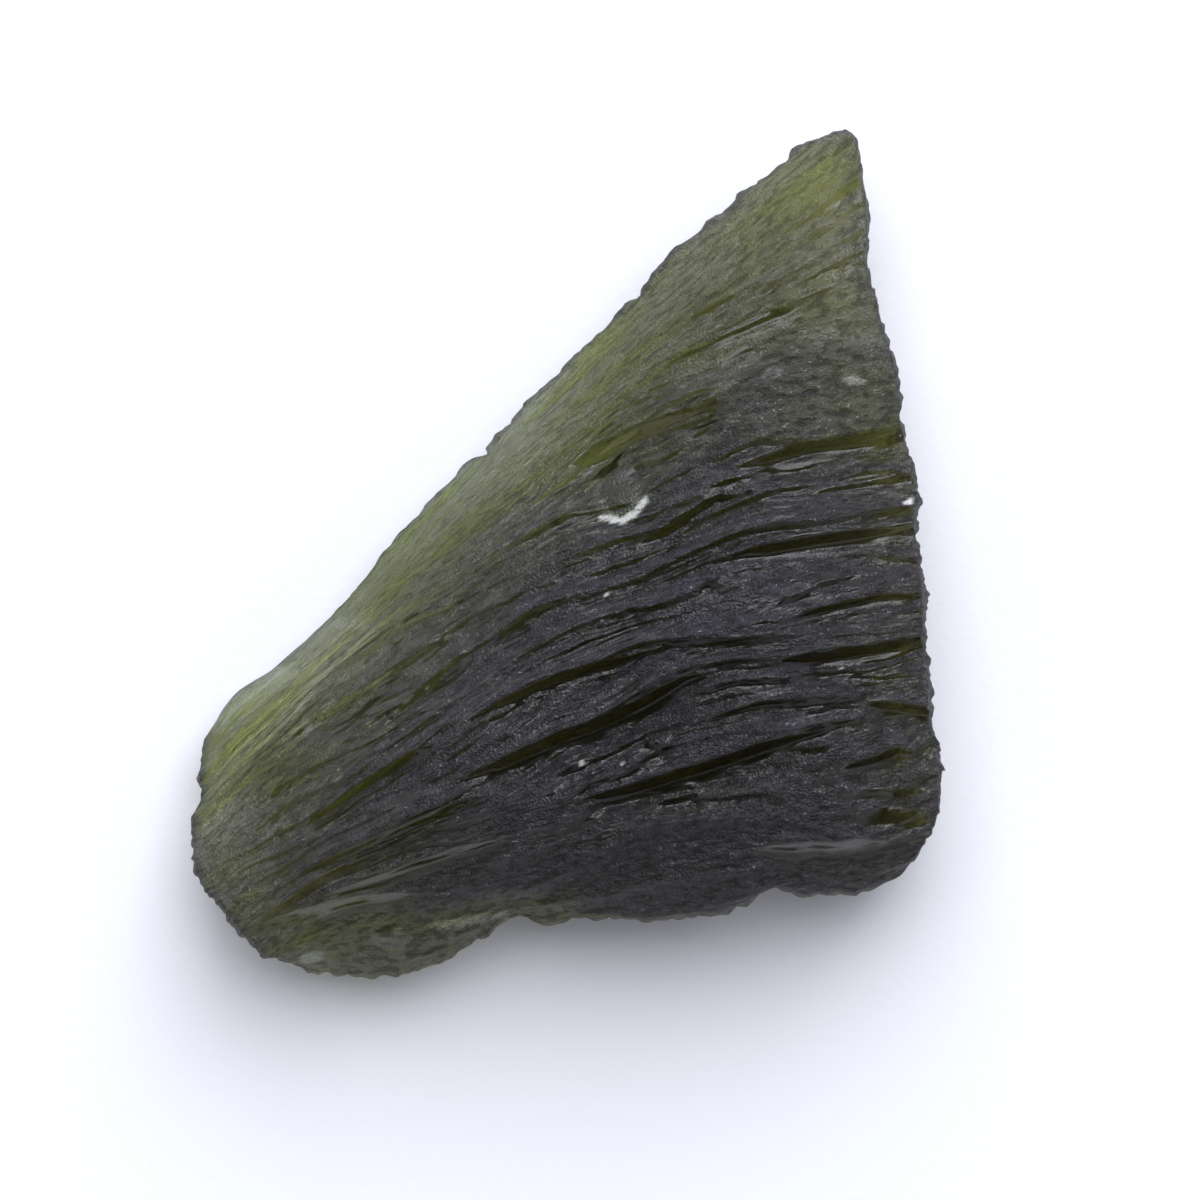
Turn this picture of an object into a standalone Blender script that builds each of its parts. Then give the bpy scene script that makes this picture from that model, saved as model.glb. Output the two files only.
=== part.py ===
"""A raw moldavite at its real size: one flat, roughly triangular piece of natural glass with a flow-grooved skin.

X runs to the right, Y away from the viewer and Z up. The stone rests on a small flat spot at Z = 0, and the
origin is on the ground under the middle of its outline.
"""

from collections import namedtuple

import bmesh
import bpy
import numpy as np
from mathutils import Vector, noise

FlowLine = namedtuple("FlowLine", "place course above below")
Groove = namedtuple("Groove", "course width depth")

# Driving dimensions, in millimetres.
LENGTH_Y = 30.38
LIFT = 0.50
GROUND_CUTTER = (60.0, 60.0, 10.0)

# The relief of the skin, in millimetres: flow ridges of two sizes, slow swells, and what etching ate away.
STRIA_HEIGHT = 0.42
STRIA_PITCH = 1.30
FINE_STRIA_HEIGHT = 0.16
FINE_STRIA_PITCH = 0.62
STRIA_LENGTH = 4.5
SWELL_HEIGHT = 0.25
SWELL_SIZE = 4.5
BELLY_RELIEF = 0.26
BELLY_PITCH = 1.95
CUP_SIZE = 2.3
WALL_CHIP_SIZE = 1.2

# The part of a ridge's pitch that its steep wall takes, and how deep the rim's chips go, as a part of the rim.
STRIA_WALL = 0.30
WALL_RELIEF = 0.45

# The underside rises to the rim in a round: how wide it is, and how high, as a part of the thickness and at most.
ROUND_WIDTH = 2.4
ROUND_PART = 0.5
ROUND_HEIGHT = 1.7

# How far the ridges wander, in pitches: all together along the stone, and each by itself.
WANDER = 1.1
WANDER_TURNS = (3.2, 6.0)
OWN_WANDER = 0.30

# Where ridges fade out and come back, as noise values, and how long a fading place is across them, in ridges.
FADING = (-0.35, 0.55)
FADING_ACROSS = 0.55

# The skin is calmer towards the upper edge: between these places across the stone, down to this part of its relief.
CALM_PLACES = (0.78, 0.60)
CALM_RELIEF = 0.45

# The least and the most that crowded flow lines scale the relief, and the noise values between which a cup deepens.
CROWDING = (0.2, 1.1)
CUP_DEEPENS = (0.15, 0.75)

# Blender's noise is scaled up to reach from about -1 to 1. Each pattern reads a slice of its own.
NOISE_GAIN = 1.6
STRIA_SLICE = 1.7
FINE_STRIA_SLICE = 4.1
SWELL_SLICE = 9.2
BELLY_SLICE = 21.4
CUP_SLICE = 33.1
WALL_SLICE = 40.7
REST_SLICE = 51.3
WANDER_SLICE = 7.3
OWN_WANDER_SLICE = 2.1
FADING_SLICE = 11.9

# The stone's plain width and length across and along the flow, from which the ridges are counted.
PLAIN_ACROSS = 22.0
PLAIN_ALONG = 26.0

# The grid that the skin is shaped on, how far in the rim starts on it, and the triangles kept at the end.
STEPS_ALONG = 96
STEPS_ACROSS = 190
STEPS_DOWN = 8
INSET_AT_ENDS = 0.014
INSET_AT_SIDES = 0.022
END_FADE = 0.12
OUTLINE_SAMPLES = 801
TRIANGLES_KEPT = 9300
SHARP_ANGLE = 0.75

GLASS_COLOUR = (0.060, 0.066, 0.036, 1.0)
GLASS_ROUGHNESS = 0.38
GLASS_IOR = 1.49

# The outline seen from above, in millimetres, as four sides. Each point is a corner or a notch that shows.
LEFT_END = [
    (-9.25, -14.98), (-10.00, -14.62), (-10.80, -14.38), (-11.25, -13.85), (-11.55, -13.65), (-12.00, -13.10),
    (-12.40, -12.55), (-12.95, -11.90), (-13.30, -11.35), (-13.37, -10.60), (-13.45, -9.45), (-13.17, -9.00),
    (-13.08, -8.60), (-13.22, -8.00), (-13.14, -7.50), (-13.05, -6.95), (-13.00, -6.65),
]
RIGHT_EDGE = [
    (12.00, -11.30), (12.52, -10.70), (12.95, -9.90), (13.25, -9.30), (13.36, -8.55), (13.26, -8.15),
    (13.37, -7.60), (13.10, -6.40), (12.98, -5.75), (13.00, -5.55), (12.88, -4.80), (12.77, -3.50), (12.75, -2.30),
    (12.75, -1.10), (12.62, -0.50), (12.58, 0.45), (12.51, 1.00), (12.58, 2.10), (12.50, 2.70), (12.33, 3.40),
    (12.20, 3.75), (12.15, 4.30), (11.92, 4.95), (11.90, 5.80), (11.68, 7.00), (11.25, 8.30), (10.97, 9.40),
    (10.68, 10.40), (10.79, 11.40), (10.83, 12.30), (10.62, 13.10), (10.52, 14.20), (10.30, 15.10),
    (9.90, 15.17), (9.00, 14.88), (8.20, 14.62),
]
LOWER_EDGE = [
    (-9.25, -14.98), (-8.30, -15.10), (-7.10, -15.18), (-6.10, -15.10), (-5.20, -14.88), (-4.40, -14.60),
    (-3.40, -14.00), (-2.70, -13.70), (-2.05, -13.05), (-1.40, -13.05), (-0.90, -13.25), (0.10, -13.18),
    (0.70, -12.98), (1.80, -12.97), (3.00, -13.17), (4.40, -12.95), (5.60, -12.83), (6.35, -12.50), (6.90, -12.10),
    (7.35, -11.82), (7.85, -12.05), (8.40, -12.27), (9.10, -12.17), (10.10, -12.22), (11.00, -12.05),
    (11.75, -11.68), (12.00, -11.30),
]
UPPER_EDGE = [
    (-13.00, -6.65), (-12.65, -6.10), (-12.30, -5.48), (-11.80, -4.88), (-11.20, -4.52), (-10.65, -4.20),
    (-10.20, -3.82), (-9.50, -3.20), (-8.70, -2.45), (-8.00, -1.75), (-7.30, -0.95), (-6.80, -0.25), (-6.55, 0.18),
    (-6.25, 0.40), (-6.10, 0.72), (-5.75, 1.00), (-5.15, 1.65), (-4.75, 2.18), (-4.15, 2.68), (-3.75, 3.20),
    (-3.30, 3.53), (-2.85, 3.50), (-2.87, 3.90), (-2.60, 4.27), (-2.00, 4.72), (-1.70, 5.22), (-1.00, 5.93),
    (-0.50, 6.30), (0.00, 6.87), (0.50, 7.38), (1.22, 8.00), (1.88, 8.70), (2.08, 9.10), (2.50, 9.12), (2.85, 9.75),
    (3.40, 10.40), (3.85, 10.95), (4.65, 11.52), (5.25, 12.10), (5.95, 12.60), (6.15, 13.00), (6.70, 13.33),
    (7.40, 13.85), (7.88, 14.20), (8.20, 14.62),
]

# Flow lines of the glass between the lower and the upper edge. Each has its place across the stone (0 to 1), its
# course from the left end to the right edge, and the height of the skin above and below it at six stations.
FLOW_LINES = [
    FlowLine(0.00, LOWER_EDGE, (2.4, 2.8, 3.8, 4.7, 4.9, 4.5), (0.7, 0.7, 0.7, 0.6, 0.6, 0.7)),
    FlowLine(0.045, [(-9.9, -14.68), (-8.0, -14.4), (-6.0, -14.1), (-4.2, -13.5), (-2.3, -12.6), (0.0, -12.3),
                     (3.0, -12.1), (6.0, -11.8), (9.0, -11.5), (11.3, -11.15), (12.5, -10.7)],
             (3.3, 3.9, 5.0, 5.8, 6.0, 5.6), (0.4, 0.4, 0.4, 0.3, 0.3, 0.4)),
    FlowLine(0.10, [(-10.4, -14.5), (-9.2, -13.9), (-8.0, -13.4), (-6.0, -12.8), (-4.0, -12.2), (-2.0, -11.6),
                    (0.0, -11.15), (2.0, -10.8), (4.0, -10.6), (7.1, -10.3), (11.4, -10.1), (13.05, -9.7)],
             (4.2, 5.1, 6.2, 6.8, 6.9, 6.3), (0.3, 0.2, 0.2, 0.1, 0.1, 0.2)),
    FlowLine(0.21, [(-11.35, -13.75), (-10.0, -12.8), (-8.5, -11.9), (-6.5, -11.05), (-4.0, -10.15), (-2.0, -9.5),
                    (0.0, -8.9), (2.0, -8.3), (4.0, -7.73), (5.5, -7.27), (7.0, -6.73), (9.0, -6.2), (10.0, -6.0),
                    (13.0, -5.55)],
             (4.8, 6.2, 7.3, 7.9, 7.8, 6.9), (0.3, 0.1, -0.1, -0.2, -0.1, 0.1)),
    FlowLine(0.31, [(-12.1, -12.95), (-10.6, -11.9), (-9.0, -10.95), (-7.0, -9.95), (-5.0, -9.0), (-3.0, -8.0),
                    (-1.5, -7.1), (-0.1, -6.37), (1.0, -6.0), (2.0, -5.55), (3.45, -4.75), (5.0, -4.1),
                    (8.0, -3.7), (10.0, -3.5), (12.77, -3.0)],
             (4.8, 6.1, 7.6, 8.3, 8.1, 7.0), (0.3, 0.1, -0.2, -0.25, -0.1, 0.2)),
    FlowLine(0.39, [(-12.95, -11.9), (-11.3, -10.9), (-9.6, -9.95), (-8.0, -8.8), (-6.0, -7.4), (-4.0, -6.1),
                    (-2.0, -5.0), (-0.9, -4.6), (1.0, -4.1), (3.0, -3.3), (5.0, -2.9), (8.0, -2.25),
                    (10.0, -1.85), (12.75, -1.4)],
             (4.2, 5.4, 7.0, 8.0, 8.1, 7.0), (0.4, 0.2, -0.2, -0.25, -0.1, 0.25)),
    FlowLine(0.48, [(-13.37, -10.5), (-11.8, -9.3), (-10.0, -7.9), (-8.0, -6.6), (-6.0, -5.5), (-4.0, -4.4),
                    (-2.0, -3.2), (0.0, -2.2), (2.0, -1.4), (3.5, -0.9), (5.4, -0.25), (7.3, 0.3), (9.1, 0.57),
                    (10.9, 0.85), (12.5, 1.0)],
             (3.3, 4.1, 5.7, 7.0, 7.5, 6.7), (0.7, 1.1, 0.5, -0.1, -0.05, 0.3)),
    FlowLine(0.56, [(-13.3, -9.1), (-12.0, -7.9), (-10.5, -6.6), (-8.8, -5.1), (-7.5, -4.1), (-5.5, -2.8),
                    (-3.5, -1.7), (-1.5, -0.4), (0.4, 0.4), (2.5, 0.9), (4.3, 1.4), (6.5, 2.1), (8.7, 2.3),
                    (10.9, 2.57), (12.5, 2.75)],
             (2.7, 3.1, 4.5, 5.9, 6.8, 6.2), (0.9, 1.7, 1.2, 0.4, 0.0, 0.4)),
    FlowLine(0.68, [(-13.2, -7.9), (-11.8, -6.4), (-10.0, -4.9), (-8.0, -3.2), (-6.0, -1.5), (-4.0, -0.1),
                    (-2.0, 1.4), (-0.2, 2.7), (1.5, 3.9), (3.5, 4.9), (6.3, 5.7), (8.0, 6.1), (10.0, 6.4),
                    (11.75, 6.7)],
             (2.6, 2.9, 3.8, 4.4, 5.5, 5.4), (1.0, 1.5, 1.4, 1.3, 0.9, 0.5)),
    FlowLine(0.83, [(-13.08, -7.1), (-11.8, -5.6), (-9.8, -4.0), (-8.0, -2.3), (-6.0, -0.3), (-4.0, 1.7),
                    (-2.0, 3.4), (0.0, 5.0), (2.0, 6.6), (4.0, 8.1), (6.0, 9.4), (8.0, 10.6), (9.5, 11.5),
                    (10.8, 12.2)],
             (2.3, 2.7, 3.2, 3.6, 4.6, 5.1), (1.0, 1.1, 1.1, 1.1, 0.8, 0.7)),
    FlowLine(0.92, [(-13.03, -6.85), (-11.9, -5.2), (-9.9, -3.75), (-8.0, -2.05), (-6.0, 0.1), (-4.0, 2.2),
                    (-2.0, 4.1), (0.0, 5.9), (2.0, 7.8), (4.0, 9.6), (6.0, 11.2), (8.0, 12.8), (9.2, 13.8),
                    (10.4, 14.8)],
             (2.1, 2.3, 2.5, 2.9, 4.0, 4.8), (1.1, 1.1, 1.2, 1.2, 0.9, 0.7)),
    FlowLine(1.00, UPPER_EDGE, (1.8, 1.9, 2.0, 2.3, 3.1, 4.1), (1.0, 1.1, 1.2, 1.3, 1.1, 0.8)),
]

# Grooves that stand out: the course of the steep wall, its width, and its depth, in millimetres.
GROOVES = [
    Groove([(-4.0, -6.2), (-2.0, -5.1), (-0.9, -4.6), (0.0, -4.3), (2.0, -3.7), (4.0, -3.05)], 0.45, 0.40),
    Groove([(-4.5, -8.3), (-2.0, -7.2), (-0.1, -6.37), (1.0, -6.0), (2.0, -5.55), (3.45, -4.75), (4.2, -4.35),
            (5.8, -4.0)], 0.60, 0.62),
    Groove([(-0.5, -8.9), (2.0, -8.3), (4.0, -7.73), (5.45, -7.27), (7.0, -6.73), (9.0, -6.2), (10.0, -6.0)],
           0.50, 0.55),
    Groove([(7.0, -3.8), (9.0, -3.6), (11.0, -3.3), (12.0, -3.05), (13.2, -2.9)], 0.50, 0.50),
    Groove([(10.3, -5.2), (11.65, -5.35), (12.75, -5.5), (13.6, -5.6)], 0.45, 0.50),
    Groove([(9.2, -7.6), (9.7, -7.55), (10.9, -7.2), (11.65, -6.9), (12.6, -7.1)], 0.40, 0.35),
    Groove([(5.5, 2.8), (6.5, 3.2), (8.5, 3.8), (10.5, 4.1), (11.5, 4.3), (12.6, 4.5)], 0.65, 0.50),
    Groove([(2.0, 0.1), (3.5, 0.8), (4.3, 1.4), (5.2, 1.9), (7.0, 2.3)], 0.45, 0.30),
    Groove([(4.8, -0.5), (6.4, 0.1), (8.2, 0.4), (10.0, 0.66), (12.2, 1.0), (13.2, 1.1)], 0.65, 0.50),
    Groove([(7.2, -2.5), (9.0, -1.93), (10.9, -1.5), (13.2, -1.4)], 0.35, 0.30),
    Groove([(6.3, -10.5), (7.1, -10.35), (9.5, -10.3), (11.8, -10.1)], 0.50, 0.35),
    Groove([(8.2, 2.1), (10.0, 2.4), (12.3, 2.75), (13.0, 2.8)], 0.30, 0.25),
    Groove([(-9.6, -10.0), (-8.5, -9.1), (-7.5, -8.4), (-6.5, -7.8), (-5.5, -7.2), (-4.2, -6.5)], 0.45, 0.35),
    Groove([(-10.5, -6.9), (-9.5, -6.2), (-8.3, -5.45), (-7.0, -4.7), (-5.0, -3.4), (-3.6, -2.7)], 0.40, 0.30),
    Groove([(-0.4, 2.5), (0.5, 3.3), (2.5, 4.3), (4.5, 4.9), (6.4, 5.7)], 0.80, 0.40),
    Groove([(-11.2, -13.2), (-9.0, -12.6), (-7.0, -12.2), (-4.5, -12.0)], 0.50, 0.35),
    Groove([(-9.8, -11.6), (-8.0, -10.7), (-6.0, -9.8), (-4.0, -8.9), (-2.5, -8.3)], 0.45, 0.35),
    Groove([(-9.0, -12.3), (-6.5, -11.4), (-4.0, -10.5), (-1.5, -9.9)], 0.45, 0.30),
]

# A groove's lip above the skin, how far the lip and the slow rise reach, in groove widths, its pointed ends, and the
# part of its width that a point keeps.
GROOVE_LIP = 0.30
GROOVE_LIP_REACH = 0.9
GROOVE_RISE = 2.2
GROOVE_POINT = 0.30
POINT_WIDTH = 0.25

# The round etch pit beside the middle of the stone: centre, radius, depth, the part of the radius that is floor, and
# the same for the dish round it.
PIT_CENTRE = (1.55, 2.15)
PIT_RADIUS = 0.95
PIT_DEPTH = 0.62
PIT_FLOOR = 0.35
DISH_RADIUS = 2.1
DISH_DEPTH = 0.20
DISH_FLOOR = 0.5

# The patch of older, rougher skin near the right edge that stands proud of the grooves round it.
PATCH_CENTRE = (9.3, 5.75)
PATCH_HALF = (3.7, 1.75)
PATCH_TURN = 0.16
PATCH_HEIGHT = 0.30
PATCH_RIM = (1.12, 0.88)

# The chipped corner above the left end: a flat facet that cuts the shoulder down.
FACET_CENTRE = (-11.3, -5.0)
FACET_HALF = (1.9, 0.75)
FACET_TURN = 0.62
FACET_DEPTH = 0.55
FACET_RIM = (1.15, 0.75)

# The belly's lowest place, under the centre of mass: it is cut flat, and is what the stone rests on.
REST_CENTRE = (2.35, -3.35)
REST_HALF = (3.9, 2.8)
REST_TURN = 0.35
REST_DROP = 0.42
REST_RIM = (1.35, 0.85)
REST_RAGGED = 0.16
REST_RAGGED_SIZE = 1.7


def millimetres(length):
    """Turns millimetres into Blender's metres."""
    return length * 0.001


def course(points):
    """Returns the places along a line of points, from 0 to 1 by length, and the points as an array."""
    points = np.array(points, float)
    steps = np.linalg.norm(np.diff(points, axis=0), axis=1)
    along = np.concatenate([[0.0], np.cumsum(steps)])
    return along / along[-1], points


def through(knots, values, places):
    """Reads a smooth curve through the values at the knots, at the places."""
    knots = np.asarray(knots, float)
    values = np.asarray(values, float)
    slopes = np.gradient(values, knots, axis=0)
    before = np.clip(np.searchsorted(knots, places, side="right") - 1, 0, len(knots) - 2)
    span = knots[before + 1] - knots[before]
    t = (places - knots[before]) / span
    shape = (-1,) + (1,) * (values.ndim - 1)
    t = t.reshape(shape)
    span = span.reshape(shape)
    rise = t * t * (3.0 - 2.0 * t)
    return (
        (1.0 - rise) * values[before] + rise * values[before + 1]
        + span * t * (1.0 - t) ** 2 * slopes[before] - span * t * t * (1.0 - t) * slopes[before + 1]
    )


def end_points(points, marks, v):
    """Reads an end of the outline at the places v, so that each flow line meets it at its own mark."""
    along, points = course(points)
    fine = np.linspace(0.0, 1.0, OUTLINE_SAMPLES)
    dense = np.column_stack([np.interp(fine, along, points[:, axis]) for axis in (0, 1)])
    found = [fine[np.argmin(np.linalg.norm(dense - mark, axis=1))] for mark in marks]
    found[0] = 0.0
    found[-1] = 1.0
    reached = np.interp(v, [line.place for line in FLOW_LINES], found)
    return np.column_stack([np.interp(reached, along, points[:, axis]) for axis in (0, 1)])


def outline_sheet(u, v):
    """Spreads the flow lines over the whole outline: a grid of places in plan, u along the flow, v across it."""
    places = [line.place for line in FLOW_LINES]
    lines = []
    for line in FLOW_LINES:
        along, points = course(line.course)
        if line.place in (0.0, 1.0):
            lines.append(np.column_stack([np.interp(u, along, points[:, axis]) for axis in (0, 1)]))
        else:
            lines.append(through(along, points, u))
    sheet = through(places, np.array(lines), v).transpose(1, 0, 2)
    for end, outline, near in ((0, LEFT_END, 1.0 - u / END_FADE), (-1, RIGHT_EDGE, 1.0 - (1.0 - u) / END_FADE)):
        marks = [line.course[end] for line in FLOW_LINES]
        gap = end_points(outline, marks, v) - through(places, marks, v)
        sheet = sheet + (np.clip(near, 0.0, 1.0) ** 2)[:, None, None] * gap[None]
    return sheet


def height_sheet(heights, u, v):
    """Spreads the heights of every flow line's stations over the grid."""
    stations = np.linspace(0.0, 1.0, len(heights[0]))
    along = np.array([through(stations, row, u) for row in heights])
    return through([line.place for line in FLOW_LINES], along, v).T


def smooth_step(low, high, value):
    """Rises from 0 at low to 1 at high."""
    t = np.clip((value - low) / (high - low), 0.0, 1.0)
    return t * t * (3.0 - 2.0 * t)


def beside(x, y, points):
    """Returns the distance of every place from a line, positive on its upper side, and how far along it that is."""
    along, points = course(points)
    best = np.full(x.shape, 1e9)
    signed = np.zeros(x.shape)
    reached = np.zeros(x.shape)
    for start, end, first, last in zip(points[:-1], points[1:], along[:-1], along[1:]):
        run = end - start
        t = np.clip(((x - start[0]) * run[0] + (y - start[1]) * run[1]) / run.dot(run), 0.0, 1.0)
        off_x = x - start[0] - t * run[0]
        off_y = y - start[1] - t * run[1]
        gap = np.hypot(off_x, off_y)
        nearer = gap < best
        best = np.where(nearer, gap, best)
        signed = np.where(nearer, np.sign(run[0] * off_y - run[1] * off_x) * gap, signed)
        reached = np.where(nearer, first + t * (last - first), reached)
    return signed, reached


def groove(x, y, each):
    """A groove: a sharp crest along its upper side, a steep wall under the crest and a slow rise below it."""
    signed, reached = beside(x, y, each.course)
    point = smooth_step(0.0, GROOVE_POINT, reached) * smooth_step(0.0, GROOVE_POINT, 1.0 - reached)
    s = signed / (each.width * (POINT_WIDTH + (1.0 - POINT_WIDTH) * point))
    crest = GROOVE_LIP * np.exp(-np.clip(s - 0.5, 0.0, None) / GROOVE_LIP_REACH)
    wall = -1.0 + (1.0 + GROOVE_LIP) * smooth_step(-0.5, 0.5, s)
    rise = -1.0 + smooth_step(0.0, GROOVE_RISE, -0.5 - s)
    profile = np.where(s > 0.5, crest, np.where(s > -0.5, wall, rise))
    return each.depth * point * profile


def turned(x, y, centre, half, angle):
    """Distance from the middle of a turned ellipse, which is 1 on its rim."""
    right = (x - centre[0]) * np.cos(angle) + (y - centre[1]) * np.sin(angle)
    up = (y - centre[1]) * np.cos(angle) - (x - centre[0]) * np.sin(angle)
    return np.hypot(right / half[0], up / half[1])


def flow_noise(along, across, seed):
    """Smooth noise in flow coordinates, from about -1 to 1."""
    read = noise.noise
    flat = [read(Vector((a, b, seed))) for a, b in zip(along.ravel(), across.ravel())]
    return np.array(flat).reshape(along.shape) * NOISE_GAIN


def striae(u, v, pitch, piece):
    """Flow ridges about a pitch apart, from 0 to 1: each climbs a steep wall and falls off slowly behind it."""
    across = PLAIN_ACROSS / pitch
    along = PLAIN_ALONG / (pitch * STRIA_LENGTH)
    wander = WANDER * flow_noise(u * WANDER_TURNS[0], v * WANDER_TURNS[1], piece + WANDER_SLICE)
    wander = wander + OWN_WANDER * flow_noise(u * along, v * across, piece + OWN_WANDER_SLICE)
    place = (v * across + wander) % 1.0
    ridge = np.where(place < STRIA_WALL, place / STRIA_WALL, (1.0 - place) / (1.0 - STRIA_WALL))
    strength = smooth_step(*FADING, flow_noise(u * along, v * across * FADING_ACROSS, piece + FADING_SLICE))
    return ridge * ridge * (3.0 - 2.0 * ridge) * strength


def skin_above(u, v, x, y, crowding):
    """Relief of the skin above. Where the flow lines crowd together, the ridges are lower as well."""
    calm = CALM_RELIEF + (1.0 - CALM_RELIEF) * smooth_step(*CALM_PLACES, v)
    height = STRIA_HEIGHT * (striae(u, v, STRIA_PITCH, STRIA_SLICE) - 0.5)
    height = height + FINE_STRIA_HEIGHT * (striae(u, v, FINE_STRIA_PITCH, FINE_STRIA_SLICE) - 0.5)
    height = height * calm * crowding
    height = height + SWELL_HEIGHT * flow_noise(x / SWELL_SIZE, y / SWELL_SIZE, SWELL_SLICE)
    for each in GROOVES:
        height = height + groove(x, y, each)
    away = np.hypot(x - PIT_CENTRE[0], y - PIT_CENTRE[1])
    height = height - PIT_DEPTH * smooth_step(PIT_RADIUS, PIT_FLOOR * PIT_RADIUS, away)
    height = height - DISH_DEPTH * smooth_step(DISH_RADIUS, DISH_FLOOR * DISH_RADIUS, away)
    patch = turned(x, y, PATCH_CENTRE, PATCH_HALF, PATCH_TURN)
    height = height + PATCH_HEIGHT * smooth_step(*PATCH_RIM, patch)
    facet = turned(x, y, FACET_CENTRE, FACET_HALF, FACET_TURN)
    return height - FACET_DEPTH * smooth_step(*FACET_RIM, facet)


def skin_below(u, v, x, y, crowding):
    """Relief of the skin below: broad, shallow grooves, round etch pits, and the drop to the resting spot."""
    height = BELLY_RELIEF * crowding * (striae(u, v, BELLY_PITCH, BELLY_SLICE) - 0.5)
    cups = flow_noise(x / CUP_SIZE, y / CUP_SIZE, CUP_SLICE)
    height = height - BELLY_RELIEF * smooth_step(*CUP_DEEPENS, cups)
    ragged = REST_RAGGED * flow_noise(x / REST_RAGGED_SIZE, y / REST_RAGGED_SIZE, REST_SLICE)
    rest = smooth_step(*REST_RIM, turned(x, y, REST_CENTRE, REST_HALF, REST_TURN) + ragged)
    return height * (1.0 - rest) - REST_DROP * rest


def rounded_under(u, v, width, above, below):
    """Lifts the skin below in a round towards the rim, so that the rim is thinner than the stone."""
    from_side = np.minimum(v, 1.0 - v) * width
    from_end = np.minimum(u, 1.0 - u) * PLAIN_ALONG
    near = np.clip(1.0 - np.minimum(from_side, from_end) / ROUND_WIDTH, 0.0, 1.0)
    return below + np.minimum(ROUND_PART * (above - below), ROUND_HEIGHT) * (1.0 - np.sqrt(1.0 - near ** 2))


def gridded_box():
    """Makes a box from 0 to 1 cut into a grid, one cell for each step along, across and down."""
    mesh = bmesh.new()
    bmesh.ops.create_cube(mesh, size=1.0)
    bmesh.ops.translate(mesh, vec=(0.5, 0.5, 0.5), verts=mesh.verts)
    for axis, steps in enumerate((STEPS_ALONG, STEPS_ACROSS, STEPS_DOWN)):
        runs = [edge for edge in mesh.edges if abs(edge.verts[0].co[axis] - edge.verts[1].co[axis]) > 0.5]
        bmesh.ops.subdivide_edges(mesh, edges=runs, cuts=steps - 1, use_grid_fill=True)
    return mesh


def stone_points(cells):
    """Places the box's points on the stone. The rim bulges from the skin above and below out to the outline."""
    i, j, k = cells.T
    whole_u = np.linspace(0.0, 1.0, STEPS_ALONG + 1)
    whole_v = np.linspace(0.0, 1.0, STEPS_ACROSS + 1)
    u = INSET_AT_ENDS + (1.0 - 2.0 * INSET_AT_ENDS) * whole_u
    v = INSET_AT_SIDES + (1.0 - 2.0 * INSET_AT_SIDES) * whole_v
    inner = outline_sheet(u, v)
    outer = outline_sheet(whole_u, whole_v)
    grid_u, grid_v = np.meshgrid(u, v, indexing="ij")
    x, y = inner[..., 0], inner[..., 1]
    width = np.hypot(np.gradient(x, v, axis=1), np.gradient(y, v, axis=1))
    crowding = np.clip(width / PLAIN_ACROSS, *CROWDING)
    above = height_sheet([line.above for line in FLOW_LINES], u, v) + skin_above(grid_u, grid_v, x, y, crowding)
    below = height_sheet([line.below for line in FLOW_LINES], u, v) + skin_below(grid_u, grid_v, x, y, crowding)
    below = rounded_under(grid_u, grid_v, width, above, below)
    turn = np.pi * (1.0 - k / STEPS_DOWN)
    out = np.sin(turn)
    z = 0.5 * (above + below)[i, j] + 0.5 * (above - below)[i, j] * np.cos(turn)
    rim = outer[i, j]
    chips = flow_noise((rim[:, 0] + z) / WALL_CHIP_SIZE, (rim[:, 1] - z) / WALL_CHIP_SIZE, WALL_SLICE)
    reach = out + WALL_RELIEF * chips * out * (1.0 - out ** 6)
    plan = inner[i, j] + (rim - inner[i, j]) * reach[:, None]
    return np.column_stack([plan, z + LIFT])


def moldavite_mesh():
    """Shapes the gridded box into the stone and returns it as a mesh, centred on its outline."""
    box = gridded_box()
    steps = np.array((STEPS_ALONG, STEPS_ACROSS, STEPS_DOWN))
    cells = np.rint(np.array([point.co for point in box.verts]) * steps).astype(int)
    points = stone_points(cells)
    low, high = points.min(axis=0), points.max(axis=0)
    points[:, :2] -= 0.5 * (low + high)[:2]
    points[:, :2] *= LENGTH_Y / (high[1] - low[1])
    for point, place in zip(box.verts, points):
        point.co = millimetres(Vector(place))
    bmesh.ops.recalc_face_normals(box, faces=box.faces)
    mesh = bpy.data.meshes.new("moldavite")
    box.to_mesh(mesh)
    box.free()
    return mesh


def glass_material():
    """Makes the stone's olive glass, etched dull by the ground."""
    material = bpy.data.materials.new("moldavite glass")
    material.use_nodes = True
    shader = material.node_tree.nodes["Principled BSDF"]
    shader.inputs["Base Color"].default_value = GLASS_COLOUR
    shader.inputs["Roughness"].default_value = GLASS_ROUGHNESS
    shader.inputs["Metallic"].default_value = 0.0
    shader.inputs["IOR"].default_value = GLASS_IOR
    material.diffuse_color = GLASS_COLOUR
    return material


def ground_cutter(collection):
    """Makes the block below Z = 0 that cuts the resting spot flat."""
    bpy.ops.mesh.primitive_cube_add(size=1.0)
    cutter = bpy.context.object
    cutter.name = "ground_cutter"
    cutter.dimensions = [millimetres(size) for size in GROUND_CUTTER]
    cutter.location.z = -millimetres(GROUND_CUTTER[2]) / 2.0
    cutter.hide_render = True
    cutter.display_type = "WIRE"
    for other in cutter.users_collection:
        other.objects.unlink(cutter)
    collection.objects.link(cutter)
    return cutter


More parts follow.
